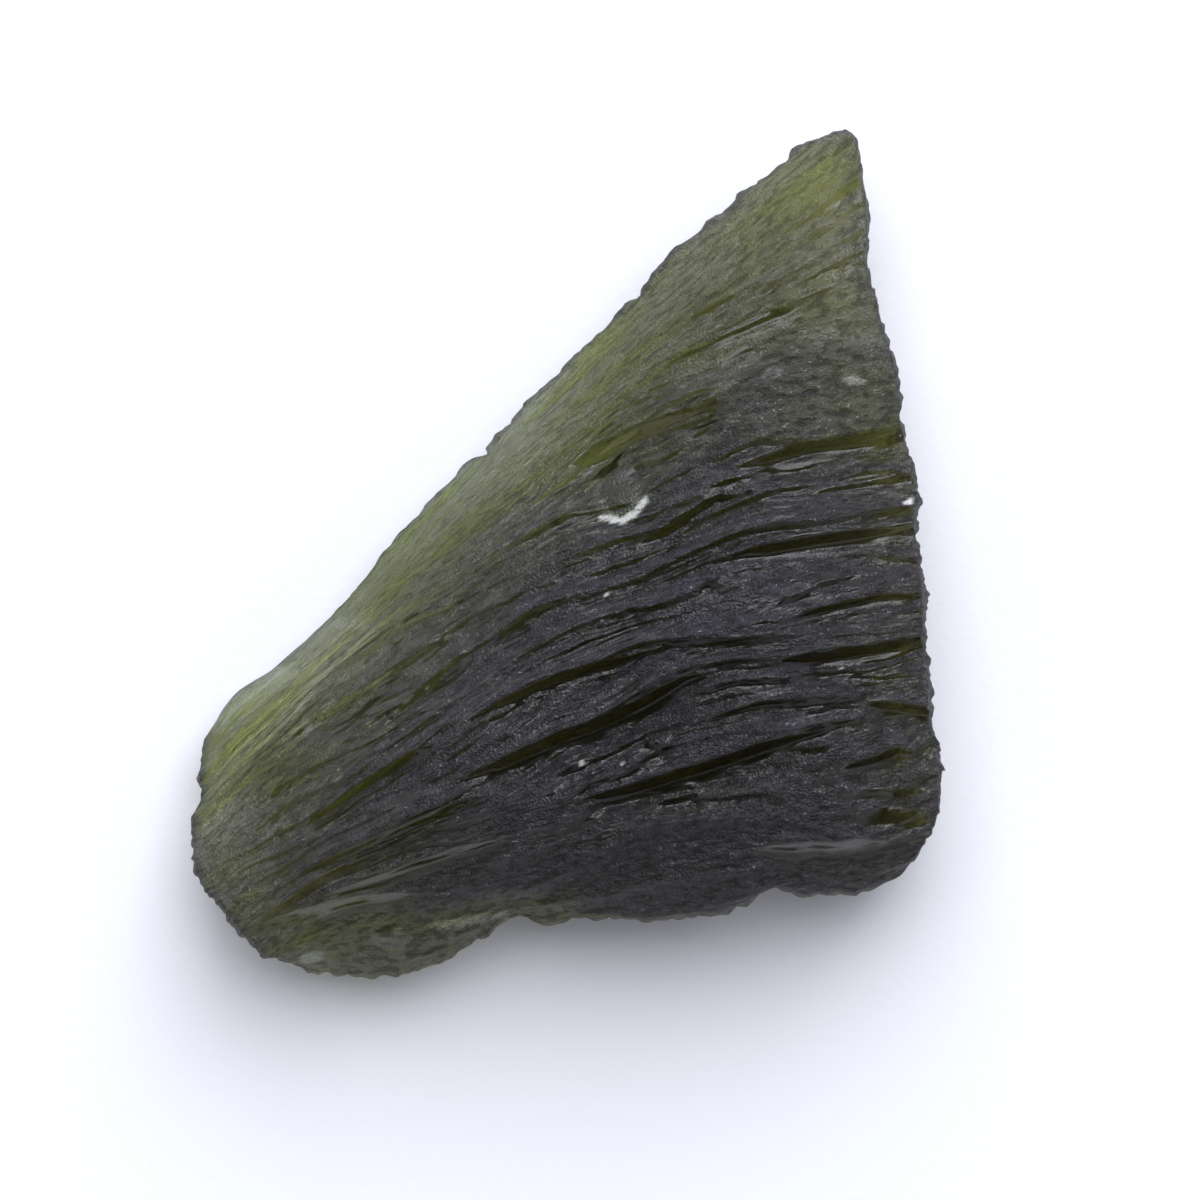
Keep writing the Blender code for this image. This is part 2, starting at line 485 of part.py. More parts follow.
def build_moldavite():
    """Builds the stone: the shaped mesh, thinned to its ridges, then cut flat where it rests."""
    parts = bpy.data.collections.new("moldavite")
    cutters = bpy.data.collections.new("cutters")
    for collection in (parts, cutters):
        bpy.context.scene.collection.children.link(collection)
    mesh = moldavite_mesh()
    mesh.materials.append(glass_material())
    stone = bpy.data.objects.new("moldavite", mesh)
    parts.objects.link(stone)
    mesh.shade_smooth()
    mesh.set_sharp_from_angle(angle=SHARP_ANGLE)
    thin = stone.modifiers.new("keep the ridges", "DECIMATE")
    thin.ratio = TRIANGLES_KEPT / (2.0 * len(mesh.polygons))
    flat = stone.modifiers.new("resting spot", "BOOLEAN")
    flat.operation = "DIFFERENCE"
    flat.object = ground_cutter(cutters)
    return stone


for old in list(bpy.data.objects):
    bpy.data.objects.remove(old)
build_moldavite()
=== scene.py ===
"""A raw moldavite lying on white paper: olive natural glass, etched by the ground along its flow lines.

The file is laid out as an add-on and is run as a script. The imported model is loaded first, and the stone made
here fills the same outline. Places and sizes in the tables are millimetres: +X to the right of the stone, +Y
towards its pointed tip, +Z up.
"""

import math
from collections import namedtuple

import bpy
import numpy as np
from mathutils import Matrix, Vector, noise


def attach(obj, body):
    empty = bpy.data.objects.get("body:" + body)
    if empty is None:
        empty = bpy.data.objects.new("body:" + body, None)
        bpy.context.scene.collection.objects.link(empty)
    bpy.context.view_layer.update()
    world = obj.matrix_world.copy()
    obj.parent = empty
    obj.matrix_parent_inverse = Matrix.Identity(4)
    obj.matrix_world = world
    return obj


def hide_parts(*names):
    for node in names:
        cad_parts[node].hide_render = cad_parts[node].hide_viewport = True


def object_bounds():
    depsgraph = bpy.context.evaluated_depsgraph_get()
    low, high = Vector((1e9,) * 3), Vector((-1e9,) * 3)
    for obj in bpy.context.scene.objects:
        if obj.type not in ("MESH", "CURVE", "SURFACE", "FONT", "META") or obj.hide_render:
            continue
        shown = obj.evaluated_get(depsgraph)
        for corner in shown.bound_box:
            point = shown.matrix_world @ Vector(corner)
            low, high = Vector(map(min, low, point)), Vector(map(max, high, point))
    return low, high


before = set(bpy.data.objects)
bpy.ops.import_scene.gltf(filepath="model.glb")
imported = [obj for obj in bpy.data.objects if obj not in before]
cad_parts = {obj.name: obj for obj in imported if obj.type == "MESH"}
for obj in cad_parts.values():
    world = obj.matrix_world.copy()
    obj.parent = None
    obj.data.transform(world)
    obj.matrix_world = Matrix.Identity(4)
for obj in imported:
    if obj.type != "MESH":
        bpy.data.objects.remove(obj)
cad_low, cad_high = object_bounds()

bl_info = {
    "name": "Moldavite",
    "version": (1, 0, 0),
    "blender": (4, 5, 0),
    "location": "3D View > Sidebar > Moldavite",
    "description": "Builds a raw moldavite, its glass and the paper it lies on",
    "category": "Object",
}

FlowLine = namedtuple("FlowLine", "place course above below")
Groove = namedtuple("Groove", "course width depth")
PaleMark = namedtuple("PaleMark", "course width whiteness")
Bend = namedtuple("Bend", "reach along across seed")

MILLIMETRE = 0.001

# How high the stone's skin is lifted, so that the ground cuts its resting spot flat.
LIFT = 0.50

# The skin's grid: steps along and across the flow, both even, and steps up the rim's wall.
STEPS_ALONG = 170
STEPS_ACROSS = 400
STEPS_UP = 10

# How far the skin stops short of the outline, as a part of its length and of its width, and the part of its
# length over which the flow lines are bent to meet the outline's two ends.
INSET_AT_ENDS = 0.009
INSET_AT_SIDES = 0.013
END_FADE = 0.12

# The stone's plain width and length across and along the flow, from which the ridges are counted.
PLAIN_ACROSS = 22.0
PLAIN_ALONG = 26.0

# Blender's noise mostly stays within 0.6 of nought. This spreads it to about 1.
NOISE_SPREAD = 1.6

# The outline seen from above. Each point is a corner or a notch that shows.
LEFT_END = [
    (-9.25, -14.98), (-10.00, -14.62), (-10.80, -14.38), (-11.25, -13.85), (-11.55, -13.65),
    (-12.00, -13.10), (-12.40, -12.55), (-12.95, -11.90), (-13.30, -11.35), (-13.37, -10.60),
    (-13.45, -9.45), (-13.17, -9.00), (-13.08, -8.60), (-13.22, -8.00), (-13.14, -7.50), (-13.05, -6.95),
    (-13.00, -6.65),
]
RIGHT_EDGE = [
    (12.00, -11.30), (12.52, -10.70), (12.95, -9.90), (13.25, -9.30), (13.36, -8.55), (13.26, -8.15),
    (13.37, -7.60), (13.10, -6.40), (12.98, -5.75), (13.00, -5.55), (12.88, -4.80), (12.77, -3.50),
    (12.75, -2.30), (12.75, -1.10), (12.62, -0.50), (12.58, 0.45), (12.51, 1.00), (12.58, 2.10),
    (12.50, 2.70), (12.33, 3.40), (12.20, 3.75), (12.15, 4.30), (11.92, 4.95), (11.90, 5.80), (11.68, 7.00),
    (11.25, 8.30), (10.97, 9.40), (10.68, 10.40), (10.79, 11.40), (10.83, 12.30), (10.62, 13.10),
    (10.52, 14.20), (10.30, 15.10), (9.90, 15.17), (9.00, 14.88), (8.20, 14.62),
]
LOWER_EDGE = [
    (-9.25, -14.98), (-8.30, -15.10), (-7.10, -15.18), (-6.10, -15.10), (-5.20, -14.88), (-4.40, -14.60),
    (-3.40, -14.00), (-2.70, -13.70), (-2.05, -13.05), (-1.40, -13.05), (-0.90, -13.25), (0.10, -13.18),
    (0.70, -12.98), (1.80, -12.97), (3.00, -13.17), (4.40, -12.95), (5.60, -12.83), (6.35, -12.50),
    (6.90, -12.10), (7.35, -11.82), (7.85, -12.05), (8.40, -12.27), (9.10, -12.17), (10.10, -12.22),
    (11.00, -12.05), (11.75, -11.68), (12.00, -11.30),
]
UPPER_EDGE = [
    (-13.00, -6.65), (-12.65, -6.10), (-12.30, -5.48), (-11.80, -4.88), (-11.20, -4.52), (-10.65, -4.20),
    (-10.20, -3.82), (-9.50, -3.20), (-8.70, -2.45), (-8.00, -1.75), (-7.30, -0.95), (-6.80, -0.25),
    (-6.55, 0.18), (-6.25, 0.40), (-6.10, 0.72), (-5.75, 1.00), (-5.15, 1.65), (-4.75, 2.18), (-4.15, 2.68),
    (-3.75, 3.20), (-3.30, 3.53), (-2.85, 3.50), (-2.87, 3.90), (-2.60, 4.27), (-2.00, 4.72), (-1.70, 5.22),
    (-1.00, 5.93), (-0.50, 6.30), (0.00, 6.87), (0.50, 7.38), (1.22, 8.00), (1.88, 8.70), (2.08, 9.10),
    (2.50, 9.12), (2.85, 9.75), (3.40, 10.40), (3.85, 10.95), (4.65, 11.52), (5.25, 12.10), (5.95, 12.60),
    (6.15, 13.00), (6.70, 13.33), (7.40, 13.85), (7.88, 14.20), (8.20, 14.62),
]

# Flow lines of the glass between the lower and the upper edge. Each has its place across the stone (0 to 1),
# its course from the left end to the right edge, and the heights of the skin above and below at six stations.
FLOW_LINES = [
    FlowLine(0.00, LOWER_EDGE, (2.4, 2.8, 3.8, 4.7, 4.9, 4.5), (0.7, 0.7, 0.7, 0.6, 0.6, 0.7)),
    FlowLine(0.045, [(-9.9, -14.68), (-8.0, -14.4), (-6.0, -14.1), (-4.2, -13.5), (-2.3, -12.6),
                     (0.0, -12.3), (3.0, -12.1), (6.0, -11.8), (9.0, -11.5), (11.3, -11.15), (12.5, -10.7)],
             (3.3, 3.9, 5.0, 5.8, 6.0, 5.6), (0.4, 0.4, 0.4, 0.3, 0.3, 0.4)),
    FlowLine(0.10, [(-10.4, -14.5), (-9.2, -13.9), (-8.0, -13.4), (-6.0, -12.8), (-4.0, -12.2),
                    (-2.0, -11.6), (0.0, -11.15), (2.0, -10.8), (4.0, -10.6), (7.1, -10.3), (11.4, -10.1),
                    (13.05, -9.7)],
             (4.2, 5.1, 6.2, 6.8, 6.9, 6.3), (0.3, 0.2, 0.2, 0.1, 0.1, 0.2)),
    FlowLine(0.21, [(-11.35, -13.75), (-10.0, -12.8), (-8.5, -11.9), (-6.5, -11.05), (-4.0, -10.15),
                    (-2.0, -9.5), (0.0, -8.9), (2.0, -8.3), (4.0, -7.73), (5.5, -7.27), (7.0, -6.73),
                    (9.0, -6.2), (10.0, -6.0), (13.0, -5.55)],
             (4.8, 6.2, 7.3, 7.9, 7.8, 6.9), (0.3, 0.1, -0.1, -0.2, -0.1, 0.1)),
    FlowLine(0.31, [(-12.1, -12.95), (-10.6, -11.9), (-9.0, -10.95), (-7.0, -9.95), (-5.0, -9.0),
                    (-3.0, -8.0), (-1.5, -7.1), (-0.1, -6.37), (1.0, -6.0), (2.0, -5.55), (3.45, -4.75),
                    (5.0, -4.1), (8.0, -3.7), (10.0, -3.5), (12.77, -3.0)],
             (4.8, 6.1, 7.6, 8.3, 8.1, 7.0), (0.3, 0.1, -0.2, -0.25, -0.1, 0.2)),
    FlowLine(0.39, [(-12.95, -11.9), (-11.3, -10.9), (-9.6, -9.95), (-8.0, -8.8), (-6.0, -7.4), (-4.0, -6.1),
                    (-2.0, -5.0), (-0.9, -4.6), (1.0, -4.1), (3.0, -3.3), (5.0, -2.9), (8.0, -2.25),
                    (10.0, -1.85), (12.75, -1.4)],
             (4.2, 5.4, 7.0, 8.0, 8.1, 7.0), (0.4, 0.2, -0.2, -0.25, -0.1, 0.25)),
    FlowLine(0.48, [(-13.37, -10.5), (-11.8, -9.3), (-10.0, -7.9), (-8.0, -6.6), (-6.0, -5.5), (-4.0, -4.4),
                    (-2.0, -3.2), (0.0, -2.2), (2.0, -1.4), (3.5, -0.9), (5.4, -0.25), (7.3, 0.3),
                    (9.1, 0.57), (10.9, 0.85), (12.5, 1.0)],
             (3.3, 4.1, 5.7, 7.0, 7.5, 6.7), (0.7, 1.1, 0.5, -0.1, -0.05, 0.3)),
    FlowLine(0.56, [(-13.3, -9.1), (-12.0, -7.9), (-10.5, -6.6), (-8.8, -5.1), (-7.5, -4.1), (-5.5, -2.8),
                    (-3.5, -1.7), (-1.5, -0.4), (0.4, 0.4), (2.5, 0.9), (4.3, 1.4), (6.5, 2.1), (8.7, 2.3),
                    (10.9, 2.57), (12.5, 2.75)],
             (2.7, 3.1, 4.5, 5.9, 6.8, 6.2), (0.9, 1.7, 1.2, 0.4, 0.0, 0.4)),
    FlowLine(0.68, [(-13.2, -7.9), (-11.8, -6.4), (-10.0, -4.9), (-8.0, -3.2), (-6.0, -1.5), (-4.0, -0.1),
                    (-2.0, 1.4), (-0.2, 2.7), (1.5, 3.9), (3.5, 4.9), (6.3, 5.7), (8.0, 6.1), (10.0, 6.4),
                    (11.75, 6.7)],
             (2.6, 2.9, 3.8, 4.4, 5.5, 5.4), (1.0, 1.5, 1.4, 1.3, 0.9, 0.5)),
    FlowLine(0.83, [(-13.08, -7.1), (-11.8, -5.6), (-9.8, -4.0), (-8.0, -2.3), (-6.0, -0.3), (-4.0, 1.7),
                    (-2.0, 3.4), (0.0, 5.0), (2.0, 6.6), (4.0, 8.1), (6.0, 9.4), (8.0, 10.6), (9.5, 11.5),
                    (10.8, 12.2)],
             (2.3, 2.7, 3.2, 3.6, 4.6, 5.1), (1.0, 1.1, 1.1, 1.1, 0.8, 0.7)),
    FlowLine(0.92, [(-13.03, -6.85), (-11.9, -5.2), (-9.9, -3.75), (-8.0, -2.05), (-6.0, 0.1), (-4.0, 2.2),
                    (-2.0, 4.1), (0.0, 5.9), (2.0, 7.8), (4.0, 9.6), (6.0, 11.2), (8.0, 12.8), (9.2, 13.8),
                    (10.4, 14.8)],
             (2.1, 2.3, 2.5, 2.9, 4.0, 4.8), (1.1, 1.1, 1.2, 1.2, 0.9, 0.7)),
    FlowLine(1.00, UPPER_EDGE, (1.8, 1.9, 2.0, 2.3, 3.1, 4.1), (1.0, 1.1, 1.2, 1.3, 1.1, 0.8)),
]

# Grooves that stand out: the course of the steep wall, its width, and its depth.
GROOVES = [
    Groove([(-4.0, -6.2), (-2.0, -5.1), (-0.9, -4.6), (0.0, -4.3), (2.0, -3.7), (4.0, -3.05)], 0.45, 0.40),
    Groove([(-4.5, -8.3), (-2.0, -7.2), (-0.1, -6.37), (1.0, -6.0), (2.0, -5.55), (3.45, -4.75), (4.2, -4.35),
            (5.8, -4.0)], 0.60, 0.62),
    Groove([(-0.5, -8.9), (2.0, -8.3), (4.0, -7.73), (5.45, -7.27), (7.0, -6.73), (9.0, -6.2), (10.0, -6.0)],
           0.50, 0.55),
    Groove([(7.0, -3.8), (9.0, -3.6), (11.0, -3.3), (12.0, -3.05), (13.2, -2.9)], 0.50, 0.50),
    Groove([(10.3, -5.2), (11.65, -5.35), (12.75, -5.5), (13.6, -5.6)], 0.45, 0.50),
    Groove([(9.2, -7.6), (9.7, -7.55), (10.9, -7.2), (11.65, -6.9), (12.6, -7.1)], 0.40, 0.35),
    Groove([(5.5, 2.8), (6.5, 3.2), (8.5, 3.8), (10.5, 4.1), (11.5, 4.3), (12.6, 4.5)], 0.65, 0.50),
    Groove([(2.0, 0.1), (3.5, 0.8), (4.3, 1.4), (5.2, 1.9), (7.0, 2.3)], 0.45, 0.30),
    Groove([(4.8, -0.5), (6.4, 0.1), (8.2, 0.4), (10.0, 0.66), (12.2, 1.0), (13.2, 1.1)], 0.65, 0.50),
    Groove([(7.2, -2.5), (9.0, -1.93), (10.9, -1.5), (13.2, -1.4)], 0.35, 0.30),
    Groove([(6.3, -10.5), (7.1, -10.35), (9.5, -10.3), (11.8, -10.1)], 0.50, 0.35),
    Groove([(8.2, 2.1), (10.0, 2.4), (12.3, 2.75), (13.0, 2.8)], 0.30, 0.25),
    Groove([(-9.6, -10.0), (-8.5, -9.1), (-7.5, -8.4), (-6.5, -7.8), (-5.5, -7.2), (-4.2, -6.5)], 0.45, 0.35),
    Groove([(-10.5, -6.9), (-9.5, -6.2), (-8.3, -5.45), (-7.0, -4.7), (-5.0, -3.4), (-3.6, -2.7)],
           0.40, 0.30),
    Groove([(-0.4, 2.5), (0.5, 3.3), (2.5, 4.3), (4.5, 4.9), (6.4, 5.7)], 0.80, 0.40),
    Groove([(-11.2, -13.2), (-9.0, -12.6), (-7.0, -12.2), (-4.5, -12.0)], 0.50, 0.35),
    Groove([(-9.8, -11.6), (-8.0, -10.7), (-6.0, -9.8), (-4.0, -8.9), (-2.5, -8.3)], 0.45, 0.35),
    Groove([(-9.0, -12.3), (-6.5, -11.4), (-4.0, -10.5), (-1.5, -9.9)], 0.45, 0.30),
]

# Slits: short, narrow grooves between the wide ones.
SLITS = [
    Groove([(9.5, -4.5), (10.0, -4.3), (11.1, -4.35), (12.5, -4.2)], 0.30, 0.22),
    Groove([(9.0, -8.5), (10.5, -8.4), (13.1, -8.3)], 0.22, 0.18),
    Groove([(9.1, -10.55), (10.9, -10.55)], 0.20, 0.14),
    Groove([(8.7, -11.0), (10.9, -11.0)], 0.20, 0.14),
    Groove([(3.1, -8.83), (4.0, -8.65), (4.9, -8.37)], 0.35, 0.24),
    Groove([(2.6, -6.7), (3.9, -6.83)], 0.35, 0.22),
    Groove([(-0.4, -7.83), (0.9, -7.4)], 0.30, 0.20),
    Groove([(4.7, 2.2), (5.45, 2.5), (6.4, 2.75)], 0.30, 0.18),
    Groove([(7.0, -1.9), (8.0, -1.5), (9.0, -1.07), (9.65, -0.9), (10.75, -0.7)], 0.20, 0.16),
    Groove([(10.0, 1.0), (10.9, 1.4), (12.4, 1.6)], 0.25, 0.18),
    Groove([(2.1, -2.0), (2.7, -1.9)], 0.30, 0.18),
    Groove([(7.0, 9.2), (7.8, 9.7)], 0.14, 0.10),
    Groove([(8.0, 11.7), (8.3, 11.75)], 0.14, 0.10),
    Groove([(9.0, 12.1), (9.5, 12.2)], 0.14, 0.10),
    Groove([(5.6, 11.8), (6.1, 11.9)], 0.14, 0.10),
    Groove([(-12.9, -7.1), (-12.8, -6.4)], 0.14, 0.16),
    Groove([(10.8, 7.35), (9.45, 7.55), (8.35, 7.8), (7.0, 6.8), (6.0, 5.0), (5.35, 4.0)], 0.20, 0.06),
]

# Clear floors: shallow channels whose glass is smooth enough to see into.
CLEAR_FLOORS = [
    Groove([(-11.5, -7.1), (-10.5, -6.5), (-9.5, -5.6), (-8.8, -5.0), (-8.0, -4.5), (-7.3, -4.0),
            (-6.5, -3.4), (-5.5, -2.7), (-4.5, -2.3), (-3.5, -1.7), (-2.5, -1.0), (-1.5, -0.3), (-0.5, 0.3),
            (0.4, 0.5)], 0.95, 0.14),
    Groove([(-10.3, -7.4), (-9.5, -6.9), (-8.7, -6.4), (-8.0, -6.0), (-7.3, -5.7), (-6.5, -5.2), (-5.5, -4.6),
            (-4.9, -4.4)], 0.80, 0.12),
    Groove([(-4.1, -3.5), (-3.2, -2.9), (-2.6, -2.5), (-1.7, -1.8)], 0.60, 0.10),
    Groove([(-0.6, -1.0), (0.5, -0.4), (2.0, -0.1)], 0.45, 0.10),
    Groove([(-9.4, -10.2), (-8.5, -9.3), (-7.5, -8.6), (-6.5, -8.0), (-5.5, -7.4), (-4.6, -6.7)], 0.60, 0.12),
    Groove([(-6.5, -8.9), (-5.0, -8.3), (-3.3, -7.5)], 0.50, 0.12),
    Groove([(-0.2, 2.6), (0.5, 3.3), (1.5, 3.9), (2.5, 4.6), (3.5, 4.8), (4.5, 5.1), (6.3, 5.6)], 1.20, 0.16),
    Groove([(3.2, 6.0), (4.6, 6.9), (5.9, 7.6), (7.2, 8.3), (8.7, 8.9)], 1.00, 0.05),
    Groove([(4.6, -1.2), (5.6, -1.5)], 0.60, 0.14),
    Groove([(10.0, -9.3), (13.0, -9.3)], 0.80, 0.14),
    Groove([(-7.0, -13.4), (-5.5, -13.7)], 0.80, 0.12),
]

# A groove's lip above the skin, and how far the lip and the slow rise reach, in groove widths.
GROOVE_LIP = 0.30
GROOVE_LIP_REACH = 0.9
GROOVE_RISE = 2.2

# The part of a groove's and of a clear floor's length that its pointed ends take, and how narrow they end.
GROOVE_POINT = 0.30
GROOVE_NARROWEST = 0.25
FLOOR_POINT = 0.22
FLOOR_NARROWEST = 0.3

# Where the smooth glass of a groove begins and ends, in widths from the middle of its wall, how far it frays
# into the skin above, below and beside a clear floor, and the fraying's size along and across the flow.
SMOOTH_STARTS = (-1.15, -0.75)
SMOOTH_STOPS = (0.50, 0.30)
UPPER_FRAY = 0.14
LOWER_FRAY = 0.30
FLOOR_FRAY = 0.70
FRAY_SIZE = (1.1, 0.22)

# Where a clear floor's bed and its smooth glass end, in half widths, and how far the ridges fade there.
BED_STOPS = (1.25, 0.55)
FLOOR_STOPS = (1.15, 0.75)
RIDGES_FADE = 0.75

# Pale marks on the skin, each with its own whiteness: chips, crushed edges and four bright specks, and
# painted highlights: the bright crescent in the opened bubble, the sheen on the chipped facet above the left
# end, and a glint near the right edge.
BRUISES_AND_HIGHLIGHTS = [
    # Painted highlight: the bright crescent on the wall of the opened bubble.
    PaleMark([(1.30, 1.30), (2.00, 1.18), (2.45, 1.45), (2.80, 1.95)], 0.24, 0.60),
    # Painted highlight: sheen on the chipped facet above the left end.
    PaleMark([(-12.30, -5.75), (-11.20, -4.95), (-9.85, -4.15)], 0.62, 0.17),
    PaleMark([(-8.20, -2.45), (-7.20, -2.55)], 0.34, 0.16),
    PaleMark([(-9.20, -14.45), (-8.80, -14.35)], 0.40, 0.20),
    PaleMark([(10.00, 6.15), (10.40, 6.15)], 0.36, 0.22),
    PaleMark([(7.15, 6.40), (7.45, 6.40)], 0.34, 0.16),
    PaleMark([(-4.50, -13.20), (-3.40, -13.05), (-2.20, -12.80)], 0.34, 0.16),
    # Painted glint near the right edge.
    PaleMark([(12.05, 1.80), (12.15, 1.90)], 0.18, 0.80),
    PaleMark([(0.56, -7.36), (0.66, -7.36)], 0.14, 0.80),
    PaleMark([(2.02, -7.36), (2.08, -7.38)], 0.10, 0.70),
    PaleMark([(1.37, -1.40), (1.43, -1.42)], 0.10, 0.70),
    PaleMark([(9.60, -4.05), (9.66, -4.03)], 0.10, 0.70),
]

# Where a pale mark ends and how ragged that is, in half widths, and the size of the raggedness.
PALE_MARK_EDGE = (1.2, 0.8)
PALE_MARK_RAGGED = 0.35
PALE_MARK_GRAIN = 0.22

# Ridges: how many the coarsest level has, the levels, the part of a pitch that the steep wall takes, how
# hollow the slope between two walls is, and a ridge's length in pitches.
FEWEST_RIDGES = 8.0
RIDGE_LEVELS = 7
RIDGE_WALL = 0.36
RIDGE_HOLLOW = 1.6
RIDGE_LENGTH = 5.0

# Slow and quick bends of the ridges: how far they reach, as a part of the stone's width, and how many there
# are along and across the stone.
RIDGE_BENDS = (Bend(0.030, 3.2, 6.0, 0.0), Bend(0.008, 11.0, 19.0, 3.1))

# How far each ridge drifts, in pitches, and how often, counted in ridge lengths and in pitches.
RIDGE_DRIFT = 0.22
DRIFT_COUNTS = (1.7, 0.8)

# Ridges come and go: how often across the flow, counted in pitches, and between which values of the noise.
# Fine levels appear between these parts of the finest pitch, and coarse ones fade between these pitches in
# millimetres. The last value is about a ridge's mean height, which is taken off it.
SHOWS_COUNT = 0.45
RIDGE_SHOWS = (-0.45, 0.35)
FINE_LEVELS = (0.6, 1.3)
COARSE_LEVELS = (2.4, 1.2)
RIDGE_MIDDLE = 0.4

# A ridge's clear foot: where it starts, in pitches before the steep wall, where it stops near the wall's top,
# and the pitches in millimetres from which it is wide enough to be clear.
FOOT_STARTS = (0.16, 0.02)
FOOT_STOPS = (1.0, 0.88)
FOOT_SHOWS = (0.18, 0.36)

# The outline's small chips, their size, how far the skin's relief notches the outline, in its own depths, and
# between which limits the relief and the notches are kept.
RIM_CHIP_DEPTH = 0.085
RIM_CHIP_SIZE = 0.42
RIM_NOTCH = 0.22
RELIEF_LIMITS = (-0.6, 0.15)
NOTCH_LIMITS = (-0.5, 0.1)

# How deep the chips of the rim's wall go, as a part of the rim, the size of the large ones, and how deep the
# small ones are beside them.
WALL_RELIEF = 0.45
WALL_CHIP_SIZE = 1.2
SMALL_CHIP_PART = 0.7

# The underside's round towards the rim: its width, and its height as a part of the thickness and at most.
ROUND_WIDTH = 2.4
ROUND_PART = 0.5
ROUND_HEIGHT = 1.7

# The opened bubble beside the middle of the stone: centre, radius, the depth of its wall, how far its floor
# bulges up again, and the width and depth of the dish round it.
PIT_CENTRE = (1.90, 2.20)
PIT_RADIUS = 1.00
PIT_DEPTH = 0.42
PIT_BULGE = 0.20
DISH_RADIUS = 2.1
DISH_DEPTH = 0.20

# The bubble's wall, in radii, the part of the skin's relief that its inside loses, and how far its wall is
# ragged, in radii, with the size of that.
PIT_WALL = (1.15, 0.70)
PIT_SMOOTH = 0.8
PIT_RAGGED = 0.12
PIT_GRAIN = 0.8

# The patch of older, rougher skin near the right edge that stands proud of the grooves round it. The last
# value is the part of the ridges that it has lost.
PATCH_CENTRE = (9.3, 5.75)
PATCH_HALF = (3.7, 1.75)
PATCH_TURN = 0.16
PATCH_HEIGHT = 0.30
PATCH_EDGE = (1.12, 0.88)
PATCH_CALM = 0.8

# The chipped corner above the left end: a flat facet that cuts the shoulder down.
FACET_CENTRE = (-11.3, -5.0)
FACET_HALF = (1.9, 0.75)
FACET_TURN = 0.62
FACET_DEPTH = 0.55
FACET_EDGE = (1.15, 0.75)

# The belly's lowest place, under the centre of mass, with a ragged edge.
REST_CENTRE = (2.35, -3.35)
REST_HALF = (3.9, 2.8)
REST_TURN = 0.35
REST_DROP = 0.42
REST_EDGE = (1.35, 0.85)
REST_RAGGED = 0.16
REST_GRAIN = 1.7

# How steep and how coarse the ridges below are beside those above, and how clear their feet are.
BELLY_STEEPNESS = 0.6
BELLY_COARSENESS = 2.0
BELLY_CLEAR = 0.7

# The size of the slow swells above, and of the etch cups below.
SWELL_SIZE = 4.5
CUP_SIZE = 2.3

# Where the noise behind the small etch marks above and the etch cups below sinks the skin, and how deep the
# small marks are on calm skin and on ridges.
POCK_SHOWS = (-0.2, 0.9)
CUP_SHOWS = (0.15, 0.75)
POCKS_ON_CALM = 1.2
POCKS_ON_RIDGES = 0.6

# The skin is calmer towards the upper edge: between these places across the stone, down to this part of its
# relief. At the left end the calm reaches further across, between these places along the stone.
CALM_PLACES = (0.76, 0.60)
CALM_RELIEF = 0.42
CALM_REACH = 0.14
CALM_REACH_PLACES = (0.45, 0.20)
END_CALM_PLACES = (0.01, 0.10)
END_CALM_RELIEF = 0.35

# Clear bands in the calm skin: how long and how broad the large and the small ones are, and where they stop
# short of the upper edge. Clear feet of the ridges stop short of the lower edge in the same way.
BAND_SIZE = (3.8, 0.9)
SMALL_BAND_SIZE = (1.3, 0.4)
BANDS_SHOW = (0.0, 0.50)
BANDS_STOP = (0.96, 0.84)
FEET_STOP = (0.12, 0.18)
MOST_CLEAR = 0.95

# How strong the ridges are where skin counts as calm, and where it counts as ridged.
CALM_SKIN = (0.9, 0.4)
RIDGED_SKIN = (0.3, 0.9)

# How deeply the skin is etched, from 0 to 1: the thicknesses between which that grows, the least that ridges
# and calm skin have, how deeply the rough patch is etched, and the part of it all that the skin below has.
THIN_TO_THICK = (3.2, 5.6)
RIDGES_ETCHED = 0.58
CALM_ETCHED = 0.25
PATCH_ETCHED = 0.8
ETCHED_BELOW = 0.30

# Glass is clear where the skin climbs towards the upper edge or falls away steeply. On the gentle falls
# between these slopes it is etched.
CLEAR_ABOVE = (-0.42, -0.12)
CLEAR_BELOW = (-0.55, -0.90)
PIT_CLEAR = 0.60

# Patterns of the etched skin, as counts to a millimetre along and across the flow: threads, and streaks of
# greener skin. The small pits are drawn out along the flow, and their count is a setting. The third number
# of the threads moves them on where the skin is more deeply etched.
THREAD_COUNTS = (1.4, 5.5, 1.0)
STREAK_COUNTS = (0.14, 0.55, 0.0)
PIT_STRETCH = (0.45, 1.0, 0.0)

# The values of a pattern's noise that draw nothing, and the whole, of what it is for.
NET = (0.40, 0.56)
THREADS = (0.42, 0.64)
PITS = (0.49, 0.39)
GAPS = (0.44, 0.34)
GRAINS = (0.44, 0.58)
SPARKLES = (0.66, 0.76)
STREAKS = (0.46, 0.60)

# What the net and the grains add to the frosting beside the threads' 1, how high the pits' rims and the
# grains stand beside the threads, the part of the painted sparkle and of the hollows' painted shade that the
# thinnest etching has, and how fast painted sparkle and crushing turn the skin white.
NET_PART = 0.6
GRAIN_PART = 0.45
PIT_HEIGHT = 0.7
GRAIN_HEIGHT = 0.5
THIN_SPARKLE = 0.35
THIN_SHADE = 0.6
WHITENING = 1.6

# Colours of the skin where it is thinly etched and in its greener streaks, and the painted shade of its
# hollows.
THIN_TINT = "#e8eedd"
STREAK_TINT = "#cad78a"
PAINTED_HOLLOW_SHADE = "#23231d"

